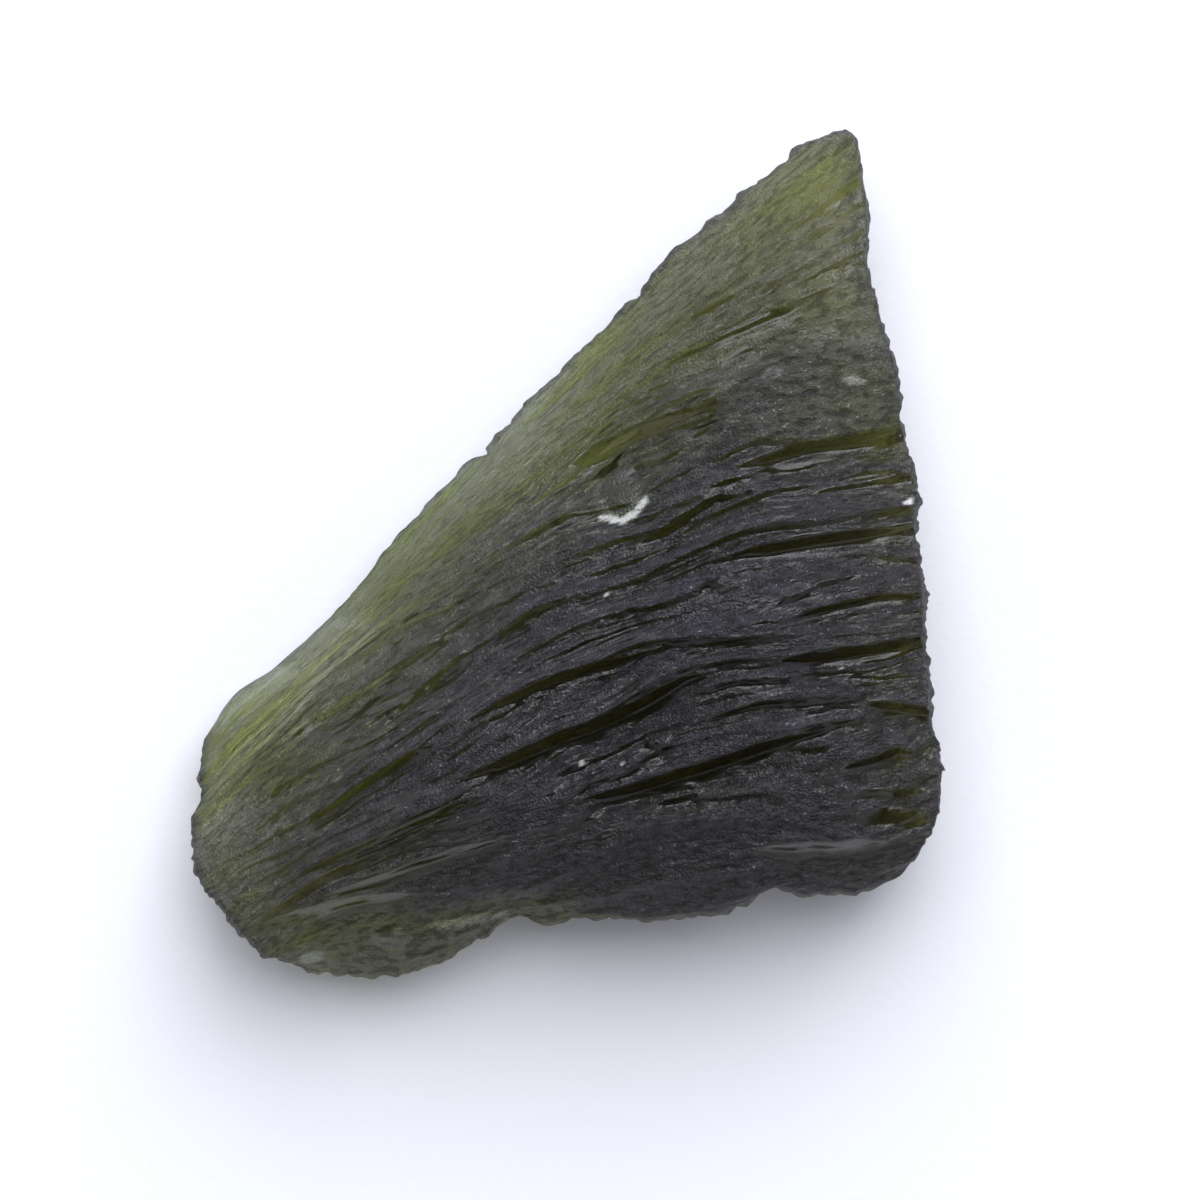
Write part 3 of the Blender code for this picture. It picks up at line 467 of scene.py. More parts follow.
# The band of etched skin beside the rim: its width, how many times narrower it is at the lower edge, how
# deeply it and the rim's wall are etched, and the deeply etched band along the lower edge: the widths between
# which it fades, and the places along the stone between which it starts.
RIM_BAND = 0.80
BAND_NARROWS = 2.5
RIM_ETCHED = 0.70
RIM_SHADE = 0.95
LOWER_RIM_SHADE = 0.5
DEEP_BAND = (2.6, 1.6)
DEEP_BAND_STARTS = (0.35, 0.50)

# What the camera sees: how wide the view is at the rim's height, where its middle is, and the rim's height.
VIEW_WIDTH = 42.857
VIEW_MIDDLE = (1.254, -1.581)
VIEW_HEIGHT = 3.5

# Half the paper's width, and the window's size and place, in metres.
PAPER_HALF = 0.4
WINDOW_SIZE = (0.50, 0.62)
WINDOW_PLACE = (0.06, 0.29, 0.415)

# How far the paper lies under the stone, and the size and height of its tooth.
PAPER_GAP = 0.02
TOOTH_SIZE = 0.35
TOOTH_HEIGHT = 0.05

# The room's brightest side, how far round from it the glow starts, and how bright it is beside the rest.
# The heights between which the room darkens overhead, round the camera, and how dark it gets there.
BRIGHT_SIDE = (0.15, 0.85, 0.5)
GLOW_STARTS = 0.2
GLOW = 1.6
DARK_OVERHEAD = (0.40, 0.80)
DARK = 0.08


def linear(code):
    """Turns an sRGB hex colour into the linear colour that Blender's sockets take."""
    channels = [int(code[start:start + 2], 16) / 255.0 for start in (1, 3, 5)]
    return [c / 12.92 if c <= 0.04045 else ((c + 0.055) / 1.055) ** 2.4 for c in channels]


class MoldaviteShape(bpy.types.PropertyGroup):
    """Sizes of the stone's relief."""

    ridge_steepness: bpy.props.FloatProperty(
        name="Ridge steepness", description="Height of a flow ridge over its pitch", default=0.30,
        subtype="FACTOR")
    finest_pitch: bpy.props.FloatProperty(
        name="Finest pitch", description="Distance between the finest ridges", default=0.15 * MILLIMETRE,
        unit="LENGTH")
    pock_depth: bpy.props.FloatProperty(
        name="Pock depth", description="Depth of the small round etch marks", default=0.08 * MILLIMETRE,
        unit="LENGTH")
    pock_size: bpy.props.FloatProperty(
        name="Pock size", description="Distance between the small etch marks", default=0.32 * MILLIMETRE,
        unit="LENGTH")
    swell_height: bpy.props.FloatProperty(
        name="Swell height", description="Height of the slow swells", default=0.25 * MILLIMETRE,
        unit="LENGTH")
    belly_relief: bpy.props.FloatProperty(
        name="Belly relief", description="Depth of the grooves and cups below", default=0.26 * MILLIMETRE,
        unit="LENGTH")


class MoldaviteGlass(bpy.types.PropertyGroup):
    """Values of the glass and its etched skin."""

    tint: bpy.props.FloatVectorProperty(
        name="Tint", description="Colour that the glass lets through", subtype="COLOR", size=3,
        default=linear("#b2aa3c"))
    density: bpy.props.FloatProperty(
        name="Density", description="How much light a metre of the glass takes", default=415.0, min=0.0)
    ior: bpy.props.FloatProperty(
        name="IOR", description="Refractive index of the glass", default=1.49, min=1.0)
    specular: bpy.props.FloatProperty(
        name="Specular level", description="Shine of the skin, which its fine pits make weaker",
        default=0.25, subtype="FACTOR")
    clear_roughness: bpy.props.FloatProperty(
        name="Clear roughness", description="Roughness of the groove floors", default=0.16, subtype="FACTOR")
    dull_roughness: bpy.props.FloatProperty(
        name="Dull roughness", description="Roughness of the etched ridges", default=0.68, subtype="FACTOR")
    frosting: bpy.props.FloatProperty(
        name="Frosting", description="Part of the light that the deeply etched skin scatters", default=0.038,
        subtype="FACTOR")
    thin_frosting: bpy.props.FloatProperty(
        name="Thin frosting", description="The same where the stone is thin", default=0.045, subtype="FACTOR")
    # How strong the painted glints of the brightest grains are.
    sparkle: bpy.props.FloatProperty(
        name="Sparkle", description="Part of the light that the brightest grains throw back", default=0.32,
        subtype="FACTOR")
    frost_tint: bpy.props.StringProperty(
        name="Frost tint", description="sRGB colour of the etched skin", default="#857a94")
    # The white of crushed glass and dust, and of the painted glints and highlights.
    bruise_and_glint_tint: bpy.props.StringProperty(
        name="Bruise tint", description="sRGB colour of crushed glass and sparkling grains",
        default="#d9dad2")
    # Painted shade: how dark the walls of the small pits are painted.
    pit_shade: bpy.props.FloatProperty(
        name="Pit shade", description="How dark the walls of the small pits are", default=0.75,
        subtype="FACTOR")
    webs_per_mm: bpy.props.FloatProperty(
        name="Pits in a millimetre", description="How many small etch pits there are across a millimetre",
        default=4.4)
    grain_relief: bpy.props.FloatProperty(
        name="Grain relief", description="Height of the etched grains", default=0.20 * MILLIMETRE,
        unit="LENGTH")
    grain_size: bpy.props.FloatProperty(
        name="Grain size", description="Size of the etched grains", default=0.085 * MILLIMETRE, unit="LENGTH")


class MoldaviteStage(bpy.types.PropertyGroup):
    """The paper, the lights and the camera."""

    paper: bpy.props.FloatVectorProperty(
        name="Paper", description="Colour of the paper", subtype="COLOR", size=3, default=linear("#f2f2f2"))
    key_tint: bpy.props.FloatVectorProperty(
        name="Window light", description="Colour of the main light", subtype="COLOR", size=3,
        default=linear("#f4f6ff"))
    key_power: bpy.props.FloatProperty(
        name="Window power", description="Power of the main light", default=4.2, unit="POWER")
    room: bpy.props.FloatProperty(
        name="Room light", description="Brightness of the light from all round", default=0.84)
    focal_length: bpy.props.FloatProperty(
        name="Focal length", description="Focal length of the camera", default=200.0, unit="CAMERA")


def course(points):
    """Returns the places along a line of points, from 0 to 1 by length, and the points as an array."""
    points = np.array(points, float)
    steps = np.linalg.norm(np.diff(points, axis=0), axis=1)
    along = np.concatenate([[0.0], np.cumsum(steps)])
    return along / along[-1], points


def through(knots, values, places):
    """Reads a smooth curve through the values at the knots, at the places."""
    knots = np.asarray(knots, float)
    values = np.asarray(values, float)
    slopes = np.gradient(values, knots, axis=0)
    before = np.clip(np.searchsorted(knots, places, side="right") - 1, 0, len(knots) - 2)
    span = knots[before + 1] - knots[before]
    t = (places - knots[before]) / span
    shape = (-1,) + (1,) * (values.ndim - 1)
    t = t.reshape(shape)
    span = span.reshape(shape)
    rise = t * t * (3.0 - 2.0 * t)
    return (
        (1.0 - rise) * values[before] + rise * values[before + 1]
        + span * t * (1.0 - t) ** 2 * slopes[before] - span * t * t * (1.0 - t) * slopes[before + 1]
    )


def end_points(points, marks, v):
    """Reads an end of the outline at the places v, so that each flow line meets it at its own mark."""
    along, points = course(points)
    fine = np.linspace(0.0, 1.0, 801)
    dense = np.column_stack([np.interp(fine, along, points[:, axis]) for axis in (0, 1)])
    found = [fine[np.argmin(np.linalg.norm(dense - mark, axis=1))] for mark in marks]
    found[0] = 0.0
    found[-1] = 1.0
    reached = np.interp(v, [line.place for line in FLOW_LINES], found)
    return np.column_stack([np.interp(reached, along, points[:, axis]) for axis in (0, 1)])


def outline_sheet(u, v):
    """Spreads the flow lines over the outline: a grid of places in plan, u along the flow, v across it."""
    places = [line.place for line in FLOW_LINES]
    lines = []
    for line in FLOW_LINES:
        along, points = course(line.course)
        if line.place in (0.0, 1.0):
            lines.append(np.column_stack([np.interp(u, along, points[:, axis]) for axis in (0, 1)]))
        else:
            lines.append(through(along, points, u))
    sheet = through(places, np.array(lines), v).transpose(1, 0, 2)
    ends = ((0, LEFT_END, 1.0 - u / END_FADE), (-1, RIGHT_EDGE, 1.0 - (1.0 - u) / END_FADE))
    for end, outline, near in ends:
        marks = [line.course[end] for line in FLOW_LINES]
        gap = end_points(outline, marks, v) - through(places, marks, v)
        sheet = sheet + (np.clip(near, 0.0, 1.0) ** 2)[:, None, None] * gap[None]
    return sheet


def height_sheet(heights, u, v):
    """Spreads the heights of every flow line's stations over the grid."""
    stations = np.linspace(0.0, 1.0, len(heights[0]))
    along = np.array([through(stations, row, u) for row in heights])
    return through([line.place for line in FLOW_LINES], along, v).T


def smooth_step(low, high, value):
    """Rises from 0 at low to 1 at high."""
    t = np.clip((value - low) / (high - low), 0.0, 1.0)
    return t * t * (3.0 - 2.0 * t)


def beside(x, y, points):
    """Returns how far every place is from a line, positive on its upper side, and where along it that is."""
    along, points = course(points)
    best = np.full(x.shape, 1e9)
    signed = np.zeros(x.shape)
    reached = np.zeros(x.shape)
    for start, end, first, last in zip(points[:-1], points[1:], along[:-1], along[1:]):
        run = end - start
        t = np.clip(((x - start[0]) * run[0] + (y - start[1]) * run[1]) / run.dot(run), 0.0, 1.0)
        off_x = x - start[0] - t * run[0]
        off_y = y - start[1] - t * run[1]
        gap = np.hypot(off_x, off_y)
        nearer = gap < best
        best = np.where(nearer, gap, best)
        signed = np.where(nearer, np.sign(run[0] * off_y - run[1] * off_x) * gap, signed)
        reached = np.where(nearer, first + t * (last - first), reached)
    return signed, reached


def turned(x, y, centre, half, angle):
    """Distance from the middle of a turned ellipse, which is 1 on its rim."""
    right = (x - centre[0]) * np.cos(angle) + (y - centre[1]) * np.sin(angle)
    up = (y - centre[1]) * np.cos(angle) - (x - centre[0]) * np.sin(angle)
    return np.hypot(right / half[0], up / half[1])


def flow_noise(along, across, seed):
    """Smooth noise at the given coordinates, from about -1 to 1."""
    read = noise.noise
    flat = [read(Vector((a, b, seed))) for a, b in zip(along.ravel(), across.ravel())]
    return np.array(flat).reshape(along.shape) * NOISE_SPREAD


def flow_ridges(u, v, width, steepness, finest, seed):
    """Ridges that fan out and fork as the flow lines spread: their height, and where their clear feet are.

    Every level has twice as many ridges as the one before. Where the stone is narrow the fine levels crowd
    out and fade, so that the pitch in millimetres stays much the same all over the skin.
    """
    bent = v
    for bend in RIDGE_BENDS:
        bent = bent + bend.reach * flow_noise(u * bend.along, v * bend.across, seed + bend.seed)
    height = np.zeros(u.shape)
    sunk = np.zeros(u.shape)
    for level in range(RIDGE_LEVELS):
        count = FEWEST_RIDGES * 2.0 ** level
        pitch = width / count
        along = PLAIN_ALONG * count / (PLAIN_ACROSS * RIDGE_LENGTH)
        drift = RIDGE_DRIFT * flow_noise(u * along * DRIFT_COUNTS[0], bent * count * DRIFT_COUNTS[1],
                                         seed + 5.0 + level)
        place = (bent * count + drift) % 1.0
        floor = 1.0 - RIDGE_WALL
        ridge = np.where(place < floor, 1.0 - place / floor, (place - floor) / RIDGE_WALL) ** RIDGE_HOLLOW
        come_and_go = flow_noise(u * along, bent * count * SHOWS_COUNT, seed + 21.0 + level)
        strength = smooth_step(*RIDGE_SHOWS, come_and_go)
        fine = smooth_step(FINE_LEVELS[0] * finest, FINE_LEVELS[1] * finest, pitch)
        shown = strength * fine * smooth_step(*COARSE_LEVELS, pitch)
        height = height + steepness * pitch * shown * (ridge - RIDGE_MIDDLE)
        wide = smooth_step(*FOOT_SHOWS, pitch)
        foot = smooth_step(floor - FOOT_STARTS[0], floor - FOOT_STARTS[1], place)
        sunk = np.maximum(sunk, shown * wide * (foot * smooth_step(*FOOT_STOPS, place)))
    return height, sunk


def groove(x, y, each, fray):
    """A groove's height, from its crest down a steep wall and up a slow rise, and how smooth its floor is."""
    signed, reached = beside(x, y, each.course)
    point = smooth_step(0.0, GROOVE_POINT, reached) * smooth_step(0.0, GROOVE_POINT, 1.0 - reached)
    s = signed / (each.width * (GROOVE_NARROWEST + (1.0 - GROOVE_NARROWEST) * point))
    crest = GROOVE_LIP * np.exp(-np.clip(s - 0.5, 0.0, None) / GROOVE_LIP_REACH)
    wall = -1.0 + (1.0 + GROOVE_LIP) * smooth_step(-0.5, 0.5, s)
    rise = -1.0 + smooth_step(0.0, GROOVE_RISE, -1.0 - s)
    profile = np.where(s > 0.5, crest, np.where(s > -0.5, wall, rise))
    shown = smooth_step(0.0, 0.25, point)
    floor = smooth_step(*SMOOTH_STARTS, s + LOWER_FRAY * fray)
    floor = floor * smooth_step(*SMOOTH_STOPS, s + UPPER_FRAY * fray)
    return each.depth * point * profile, shown * floor


def clear_floor(x, y, each, fray):
    """A shallow channel's height, and how clear its floor is."""
    signed, reached = beside(x, y, each.course)
    point = smooth_step(0.0, FLOOR_POINT, reached) * smooth_step(0.0, FLOOR_POINT, 1.0 - reached)
    width = each.width * (FLOOR_NARROWEST + (1.0 - FLOOR_NARROWEST) * point)
    s = np.abs(signed) / width * 2.0 + FLOOR_FRAY * fray
    shown = smooth_step(0.0, 0.5, point)
    return -each.depth * point * smooth_step(*BED_STOPS, s), shown * smooth_step(*FLOOR_STOPS, s)


def bruises_and_highlights(x, y):
    """How white the skin is, from 0 to 1, where the glass is bruised or crushed and where highlights are
    painted.
    """
    ragged = PALE_MARK_RAGGED * flow_noise(x / PALE_MARK_GRAIN, y / PALE_MARK_GRAIN, 71.0)
    white = np.zeros(x.shape)
    for each in BRUISES_AND_HIGHLIGHTS:
        signed, reached = beside(x, y, each.course)
        edge = np.abs(signed) / each.width * 2.0 + ragged
        white = np.maximum(white, each.whiteness * smooth_step(*PALE_MARK_EDGE, edge))
    return white


def carved_skin(u, v, x, y):
    """The grooves, slits and clear floors together: their height, and how smooth the glass in them is."""
    fray = flow_noise(u * PLAIN_ALONG / FRAY_SIZE[0], v * PLAIN_ACROSS / FRAY_SIZE[1], 3.7)
    cuts = [groove(x, y, each, fray) for each in GROOVES + SLITS]
    cuts += [clear_floor(x, y, each, fray) for each in CLEAR_FLOORS]
    height = np.zeros(x.shape)
    clear = np.zeros(x.shape)
    for depth, smooth in cuts:
        height = height + depth
        clear = np.maximum(clear, smooth)
    return height, clear


def ridge_strength(u, v, patch):
    """How strongly the ridges show, from 0 to 1: less by the upper edge, at the left end and on the patch."""
    reach = CALM_REACH * smooth_step(*CALM_REACH_PLACES, u)
    across = CALM_RELIEF + (1.0 - CALM_RELIEF) * smooth_step(*CALM_PLACES, v - reach)
    along = END_CALM_RELIEF + (1.0 - END_CALM_RELIEF) * smooth_step(*END_CALM_PLACES, u)
    return across * along * (1.0 - PATCH_CALM * patch)


def pit_place(x, y):
    """How far a place is from the middle of the opened bubble, which is 1 on its wall."""
    ragged = 1.0 + PIT_RAGGED * flow_noise(x / PIT_GRAIN, y / PIT_GRAIN, 81.0)
    return np.hypot(x - PIT_CENTRE[0], y - PIT_CENTRE[1]) * ragged / PIT_RADIUS


def with_landmarks(height, x, y, patch):
    """Gives the skin above its opened bubble in a dish, the rough patch and the chipped corner."""
    pit = pit_place(x, y)
    inside = smooth_step(*PIT_WALL, pit)
    height = height * (1.0 - PIT_SMOOTH * inside) - PIT_DEPTH * inside
    height = height + PIT_BULGE * np.clip(1.0 - pit ** 2, 0.0, None)
    height = height - DISH_DEPTH * smooth_step(DISH_RADIUS, 0.5 * DISH_RADIUS, pit * PIT_RADIUS)
    facet = smooth_step(*FACET_EDGE, turned(x, y, FACET_CENTRE, FACET_HALF, FACET_TURN))
    return height + PATCH_HEIGHT * patch - FACET_DEPTH * facet


def clear_bands(u, v, sunk, flowing):
    """Where glass is clear beside the carved grooves: bands in the calm skin, and feet of the ridges."""
    along, across = u * PLAIN_ALONG, v * PLAIN_ACROSS
    bands = flow_noise(along / BAND_SIZE[0], across / BAND_SIZE[1], 91.0)
    bands = bands + 0.5 * flow_noise(along / SMALL_BAND_SIZE[0], across / SMALL_BAND_SIZE[1], 93.0)
    banded = smooth_step(*CALM_SKIN, flowing) * smooth_step(*BANDS_SHOW, bands) * smooth_step(*BANDS_STOP, v)
    footed = sunk * smooth_step(*RIDGED_SKIN, flowing) * smooth_step(*FEET_STOP, v)
    return MOST_CLEAR * np.maximum(banded, footed)


def skin_above(shape, u, v, x, y, width):
    """The skin above: its relief, how clear it is, how strongly the ridges show, and where the patch is.

    It is clear from 0 on the etched ridges to 1 on the groove floors.
    """
    carved, clear = carved_skin(u, v, x, y)
    patch = smooth_step(*PATCH_EDGE, turned(x, y, PATCH_CENTRE, PATCH_HALF, PATCH_TURN))
    flowing = ridge_strength(u, v, patch)
    ridges, sunk = flow_ridges(u, v, width, shape.ridge_steepness, shape.finest_pitch / MILLIMETRE, 1.7)
    pock = shape.pock_size / MILLIMETRE
    marks = flow_noise(x / pock, y / pock, 61.0) + 0.5 * flow_noise(x / pock * 2.1, y / pock * 2.1, 63.0)
    pocked = POCKS_ON_CALM - (POCKS_ON_CALM - POCKS_ON_RIDGES) * flowing
    pocked = smooth_step(*POCK_SHOWS, marks) * (1.0 - clear) * pocked
    pocks = -shape.pock_depth / MILLIMETRE * pocked
    height = ridges * flowing * (1.0 - RIDGES_FADE * clear) + pocks + carved
    height = height + shape.swell_height / MILLIMETRE * flow_noise(x / SWELL_SIZE, y / SWELL_SIZE, 9.2)
    height = with_landmarks(height, x, y, patch)
    clear = np.maximum(clear, clear_bands(u, v, sunk, flowing))
    return height, np.clip(clear * (1.0 - patch), 0.0, 1.0), flowing, patch


def skin_below(shape, u, v, x, y, width):
    """The skin below: its relief, with etch cups and the drop to the resting spot, and how clear it is."""
    relief = shape.belly_relief / MILLIMETRE
    steepness = BELLY_STEEPNESS * shape.ridge_steepness
    finest = BELLY_COARSENESS * shape.finest_pitch / MILLIMETRE
    height, sunk = flow_ridges(u, v, width, steepness, finest, 21.4)
    cups = flow_noise(x / CUP_SIZE, y / CUP_SIZE, 33.1)
    height = height - relief * smooth_step(*CUP_SHOWS, cups)
    ragged = REST_RAGGED * flow_noise(x / REST_GRAIN, y / REST_GRAIN, 51.3)
    rest = smooth_step(*REST_EDGE, turned(x, y, REST_CENTRE, REST_HALF, REST_TURN) + ragged)
    return height * (1.0 - rest) - REST_DROP * rest, BELLY_CLEAR * sunk


def rounded_under(u, v, width, above, below):
    """Lifts the skin below in a round towards the rim, so that the rim is thinner than the stone."""
    from_side = np.minimum(v, 1.0 - v) * width
    from_end = np.minimum(u, 1.0 - u) * PLAIN_ALONG
    near = np.clip(1.0 - np.minimum(from_side, from_end) / ROUND_WIDTH, 0.0, 1.0)
    return below + np.minimum(ROUND_PART * (above - below), ROUND_HEIGHT) * (1.0 - np.sqrt(1.0 - near ** 2))


def border(steps_along, steps_across):
    """Walks once round a grid's border, against the clock seen from above, and returns the places visited."""
    last_i, last_j = steps_along, steps_across
    loop = [(i, 0) for i in range(last_i)] + [(last_i, j) for j in range(last_j)]
    loop += [(i, last_j) for i in range(last_i, 0, -1)] + [(0, j) for j in range(last_j, 0, -1)]
    return np.array(loop)


def sheet_faces(first, count_along, count_across, upwards):
    """Quads of a grid of points numbered row by row from first."""
    i, j = np.meshgrid(np.arange(count_along - 1), np.arange(count_across - 1), indexing="ij")
    corner = first + (i * count_across + j).ravel()
    ring = [corner, corner + count_across, corner + count_across + 1, corner + 1]
    return np.column_stack(ring if upwards else ring[::-1])


def skin_finish(u, v, x, y, width, above, below, clear, flowing, patch):
    """How deeply the skin above is etched, and where its glass is left clear, both from 0 to 1."""
    thick = np.maximum(RIDGES_ETCHED, smooth_step(*THIN_TO_THICK, above - below))
    etched = np.maximum(CALM_ETCHED * (1.0 - flowing), thick * flowing)
    from_side = np.minimum(BAND_NARROWS * v, 1.0 - v) * width
    band = smooth_step(RIM_BAND, 0.2 * RIM_BAND, np.minimum(from_side, u * PLAIN_ALONG))
    etched = np.maximum(etched, np.maximum(PATCH_ETCHED * patch, RIM_ETCHED * band))
    climb = np.gradient(above, axis=1) / np.maximum(np.gradient(y, axis=1), 0.01)
    shown = np.maximum(smooth_step(*CLEAR_ABOVE, climb), smooth_step(*CLEAR_BELOW, climb))
    clear = np.maximum(clear * (1.0 - band) * shown, PIT_CLEAR * smooth_step(1.0, 0.8, pit_place(x, y)))
    deep = smooth_step(*DEEP_BAND, v * width) * smooth_step(*DEEP_BAND_STARTS, u)
    return np.maximum(etched, deep), clear * (1.0 - deep)


def rim_chips(x, y):
    """The outline's small chips, in two sizes."""
    large = flow_noise(x / RIM_CHIP_SIZE, y / RIM_CHIP_SIZE, 44.0)
    return large + 0.6 * flow_noise(x / RIM_CHIP_SIZE * 2.3, y / RIM_CHIP_SIZE * 2.3, 46.0)


def rim_wall(loop, inner, outer, above, below, relief, flow):
    """The rim's wall, in rings from the underside up: the points of each ring and their flow coordinates."""
    i, j = loop.T
    carved = np.clip(relief[i, j], *RELIEF_LIMITS)
    chipped = RIM_CHIP_DEPTH * rim_chips(outer[i, j, 0], outer[i, j, 1])
    notch = np.clip(chipped + RIM_NOTCH * carved, *NOTCH_LIMITS)
    outward = outer[i, j] - inner[i, j]
    outward = outward / np.maximum(np.linalg.norm(outward, axis=1), 1e-6)[:, None]
    rim = outer[i, j] + outward * notch[:, None]
    shade = np.where(j == 0, LOWER_RIM_SHADE, RIM_SHADE)
    past_end = 1.0 * (i == STEPS_ALONG) - 1.0 * (i == 0)
    past_side = 1.0 * (j == STEPS_ACROSS) - 1.0 * (j == 0)
    rings = []
    ring_flows = []
    for turn in np.linspace(math.pi, 0.0, STEPS_UP + 1)[1:-1]:
        out = math.sin(turn)
        z = 0.5 * (above + below)[i, j] + 0.5 * (above - below)[i, j] * math.cos(turn)
        right, up = rim[:, 0] + z, rim[:, 1] - z
        chips = flow_noise(right / WALL_CHIP_SIZE, up / WALL_CHIP_SIZE, 40.7)
        chips = chips + SMALL_CHIP_PART * flow_noise(right / RIM_CHIP_SIZE, up / RIM_CHIP_SIZE, 41.9)
        reach = out + WALL_RELIEF * chips * out * (1.0 - out ** 6)
        plan = inner[i, j] + (rim - inner[i, j]) * reach[:, None]
        rings.append(np.column_stack([plan, z]))
        down = above[i, j] - z
        along, across = flow[i, j, 0] + past_end * down, flow[i, j, 1] + past_side * down
        ring_flows.append(np.column_stack([along, across, shade]))
    return rings, ring_flows


def stone_faces(loop, first_ring, rings):
    """Joins the skin above, the rings of the rim's wall and the skin below, which has half as many steps."""
    count_across = STEPS_ACROSS + 1
    few_along, few_across = STEPS_ALONG // 2, STEPS_ACROSS // 2
    first_bottom = first_ring + len(loop) * rings
    here = np.arange(len(loop))
    following = np.roll(here, -1)
    quads = [sheet_faces(0, STEPS_ALONG + 1, count_across, True)]
    quads.append(sheet_faces(first_bottom, few_along + 1, few_across + 1, False))
    for ring in range(rings - 1):
        low = first_ring + ring * len(loop)
        high = low + len(loop)
        quads.append(np.column_stack([low + here, low + following, high + following, high + here]))
    high = first_bottom - len(loop)
    top = loop[:, 0] * count_across + loop[:, 1]
    quads.append(np.column_stack([high + here, high + following, top[following], top[here]]))

    few = border(few_along, few_across)
    few_loop = first_bottom + few[:, 0] * (few_across + 1) + few[:, 1]
    few_next = np.roll(few_loop, -1)
    even = first_ring + here[::2]
    middle = first_ring + here[1::2]
    last = first_ring + following[1::2]
    triangles = [
        np.column_stack([few_loop, middle, even]),
        np.column_stack([few_loop, few_next, middle]),
        np.column_stack([few_next, last, middle]),
    ]
    return np.vstack(quads).tolist() + np.vstack(triangles).tolist()


def stone_surface(shape):
    """Works out the skin: points, faces, and each point's flow coordinates, clearness and whiteness."""
    whole_u = np.linspace(0.0, 1.0, STEPS_ALONG + 1)
    whole_v = np.linspace(0.0, 1.0, STEPS_ACROSS + 1)
    u = INSET_AT_ENDS + (1.0 - 2.0 * INSET_AT_ENDS) * whole_u
    v = INSET_AT_SIDES + (1.0 - 2.0 * INSET_AT_SIDES) * whole_v
    inner = outline_sheet(u, v)
    outer = outline_sheet(whole_u, whole_v)
    grid_u, grid_v = np.meshgrid(u, v, indexing="ij")
    x, y = inner[..., 0], inner[..., 1]
    width = np.hypot(np.gradient(x, v, axis=1), np.gradient(y, v, axis=1))
    relief, clear, flowing, patch = skin_above(shape, grid_u, grid_v, x, y, width)
    above = height_sheet([line.above for line in FLOW_LINES], u, v) + relief
    relief_below, clear_below = skin_below(shape, grid_u, grid_v, x, y, width)
    below = height_sheet([line.below for line in FLOW_LINES], u, v) + relief_below
    below = rounded_under(grid_u, grid_v, width, above, below)
    etched, clear = skin_finish(grid_u, grid_v, x, y, width, above, below, clear, flowing, patch)
    flow = np.dstack([grid_u * PLAIN_ALONG, grid_v * PLAIN_ACROSS, etched])
    white = bruises_and_highlights(x, y)

    loop = border(STEPS_ALONG, STEPS_ACROSS)
    rings, ring_flows = rim_wall(loop, inner, outer, above, below, relief, flow)
    top = np.dstack([inner, above]).reshape(-1, 3)
    bottom = np.dstack([inner, below])[::2, ::2].reshape(-1, 3)
    points = np.vstack([top] + rings + [bottom])
    points[:, 2] = np.clip(points[:, 2] + LIFT, 0.0, None)
    flow_below = flow[::2, ::2] * [1.0, 1.0, ETCHED_BELOW]
    flows = np.vstack([flow.reshape(-1, 3)] + ring_flows + [flow_below.reshape(-1, 3)])
    clears = np.concatenate([clear.ravel(), np.zeros(len(loop) * len(rings)), clear_below[::2, ::2].ravel()])
    whites = np.concatenate([white.ravel(), np.tile(white[tuple(loop.T)], len(rings)), np.zeros(len(bottom))])
    return points, stone_faces(loop, len(top), len(rings)), flows, clears, whites


def fit_to_frame(points):
    """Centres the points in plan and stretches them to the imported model's outline, in metres."""
    low, high = points.min(axis=0), points.max(axis=0)
    packed_low, packed_high = np.array(cad_low), np.array(cad_high)
    points[:, :2] -= 0.5 * (low + high)[:2]
    points[:, :2] *= ((packed_high - packed_low) / (high - low))[:2]
    points[:, :2] += 0.5 * (packed_low + packed_high)[:2]
    points[:, 2] *= MILLIMETRE
    return points


def add_node(tree, kind, settings=None, links=None):
    """Adds a node, sets its properties or sockets by name or number, and links others into its sockets."""
    node = tree.nodes.new(kind)
    for name, value in (settings or {}).items():
        if isinstance(name, str) and hasattr(node, name):
            setattr(node, name, value)
        else:
            node.inputs[name].default_value = value
    for name, source in (links or {}).items():
        tree.links.new(source, node.inputs[name])
    return node


